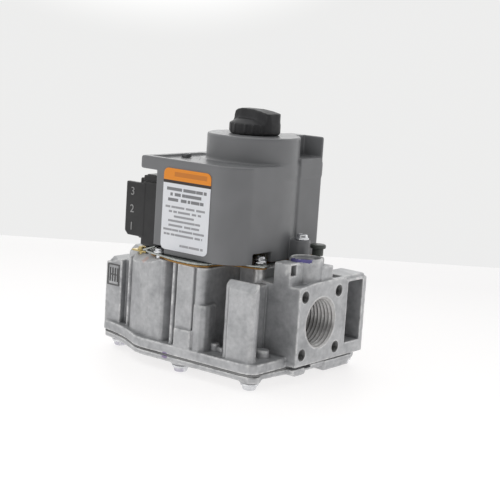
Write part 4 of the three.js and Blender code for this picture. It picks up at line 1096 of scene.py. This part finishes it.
# ------------------------------------------------------------------ knob
def knob():
    z0 = BOSS_TOP + 0.3
    f = Field((KNOB_X - 12.4, KNOB_Y - 12.4, z0 - 1), (KNOB_X + 12.4, KNOB_Y + 12.4, 57.1), 0.2)
    f.add(turned(KNOB_X, KNOB_Y, [(0, z0), (10.7, z0), (10.9, z0 + 0.2), (10.9, z0 + 4.3), (10.6, z0 + 4.7), (7.3, z0 + 6.4), (0, z0 + 6.6)]))
    side = [(-10.6, z0 + 1), (10.9, z0 + 1), (10.9, 54.4), (6.4, 55.3), (1.5, 55.95), (-5.4, 56.0), (-8.2, 55.4), (-9.9, 54.5), (-10.4, 52.6)]
    plan = [(-10.8, -2.0), (-8.4, -2.8), (-6, -3.4), (-3, -3.8), (0, -4.4), (3, -5.1), (5, -5.4), (11.2, -5.4), (11.2, 5.4), (5, 5.4), (3, 5.1), (0, 4.4), (-3, 3.8),
            (-6, 3.4), (-8.4, 2.8), (-10.8, 2.0)]
    grip = both(prism([(KNOB_X + a, b) for a, b in side], KNOB_Y - 6, KNOB_Y + 6, axis=1),
                prism([(KNOB_X + a, KNOB_Y + b) for a, b in plan], z0, 57.0, draft=0.05), bar(KNOB_X, KNOB_Y, 11.2, z0, 60))
    f.add(grip, k=1.4)
    for a in (-75, -57, -39, 39, 57, 75, 105, 123, 141, 159, 201, 219, 237, 255):
        t = math.radians(a)
        pts = [(KNOB_X + r * math.cos(t) - s * math.sin(t), KNOB_Y + r * math.sin(t) + s * math.cos(t))
               for r, s in ((10.0, -0.62), (11.2, -0.5), (11.2, 0.5), (10.0, 0.62))]
        f.add(prism(pts, z0 + 0.7, z0 + 4.5, r=0.15))
    f.cut(bar(KNOB_X, KNOB_Y, 3.75, z0 - 1, 52.2), bar(KNOB_X, KNOB_Y, 8.4, z0 - 1, z0 + 1.2))
    f.blur(0.22)
    o = field_piece("knob_moulding", f, 60000, wear=0.5)
    settle(o, "knob_assembly", "dark_plastic", ["knob"])


knob()

# ------------------------------------------------------------------ finishes of the CAD nodes that stay
slot_of = {s["node"]: s["material_slot"] for s in frame["record"]["subparts"]}
for name, node in NODES.items():
    m = MATERIALS[slot_of[name]]
    if not node.material_slots:
        node.data.materials.append(m)
    for s in node.material_slots:
        s.link = "OBJECT"
        s.material = m

# ------------------------------------------------------------------ floor and light
AWAY = np.array([-math.sin(math.radians(AZ)), math.cos(math.radians(AZ))])  # level, from the camera to the valve
SIDE = np.array([AWAY[1], -AWAY[0]])
corners = [AWAY * 0.30 - SIDE * 2.2, AWAY * -1.6 - SIDE * 2.2, AWAY * -1.6 + SIDE * 2.2, AWAY * 0.27 + SIDE * 2.2]
floor_me = bpy.data.meshes.new("floor")
floor_me.from_pydata([(float(c[0]), float(c[1]), 0.0) for c in corners], [], [(0, 1, 2, 3)])
floor = link("floor", floor_me)
floor.location = (0, 0, -0.0002)
pale = Nodes("pale_floor")
near = pale.t.nodes.new("ShaderNodeVectorMath")
near.operation = "DOT_PRODUCT"
pale.link(pale.coord, near.inputs[0])
near.inputs[1].default_value = (-float(AWAY[0]) + 0.12 * float(SIDE[0]) * -1, -float(AWAY[1]) - 0.12 * float(SIDE[1]), 0.0)
# painted light: the floor glows, more strongly towards the camera, so shadows on it stay faint and the valve's
# underside is lit from below
glow = pale.ramp(near.outputs["Value"], -0.22, 0.26, 0.60, 0.84)
pale.done(pale.mix(pale.ramp(pale.noise(3, 2), 0.3, 0.7), (0.30, 0.302, 0.304), (0.31, 0.312, 0.314)), 0.6, None, 0.0, 0.2)
pale.b.inputs["Emission Color"].default_value = (1.0, 0.985, 0.98, 1.0)
pale.link(glow, pale.b.inputs["Emission Strength"])
floor_me.materials.append(pale.m)

world = bpy.data.worlds.new("studio")
world.use_nodes = True
bpy.context.scene.world = world
wt = world.node_tree
background = next(n for n in wt.nodes if n.type == "BACKGROUND")
direction = wt.nodes.new("ShaderNodeTexCoord").outputs["Generated"]


def toward(az, el):
    a, e = math.radians(az), math.radians(el)
    return (math.sin(a) * math.cos(e), -math.cos(a) * math.cos(e), math.sin(e))


def lobe(az, el, near, far, amount, total):
    """Adds light (or takes it away) from directions within near..far degrees of the azimuth and elevation."""
    d = wt.nodes.new("ShaderNodeVectorMath")
    d.operation = "DOT_PRODUCT"
    wt.links.new(direction, d.inputs[0])
    d.inputs[1].default_value = toward(az, el)
    r = wt.nodes.new("ShaderNodeMapRange")
    r.interpolation_type = "SMOOTHSTEP"
    r.inputs["From Min"].default_value = math.cos(math.radians(far))
    r.inputs["From Max"].default_value = math.cos(math.radians(near))
    r.inputs["To Min"].default_value, r.inputs["To Max"].default_value = 0.0, amount
    wt.links.new(d.outputs["Value"], r.inputs["Value"])
    a = wt.nodes.new("ShaderNodeMath")
    a.operation = "ADD"
    wt.links.new(r.outputs["Result"], a.inputs[0])
    if isinstance(total, float):
        a.inputs[1].default_value = total
    else:
        wt.links.new(total, a.inputs[1])
    return a.outputs[0]


# azimuth 0 is the label side, 90 the outlet side; the camera stands at 37
light = lobe(217, 5, 40, 80, 0.43, 0.42)      # backdrop behind the valve
light = lobe(222, 16, 6, 17, 1.0, light)      # bright strip of backdrop just above the horizon
light = lobe(146, 10, 10, 44, 0.50, light)    # soft box on the outlet side, a little behind
light = lobe(-45, 25, 20, 60, 0.48, light)    # key on the left
light = lobe(37, 90, 20, 60, 0.5, light)      # overhead
light = lobe(60, 0, 10, 55, -0.24, light)     # dim room behind the camera
wt.links.new(light, background.inputs["Strength"])
background.inputs["Color"].default_value = (1.0, 1.0, 0.995, 1.0)

scene = bpy.context.scene
scene.view_settings.view_transform = "Standard"
scene.view_settings.look = "None"
scene.view_settings.exposure = 0.0
scene.view_settings.gamma = 1.0

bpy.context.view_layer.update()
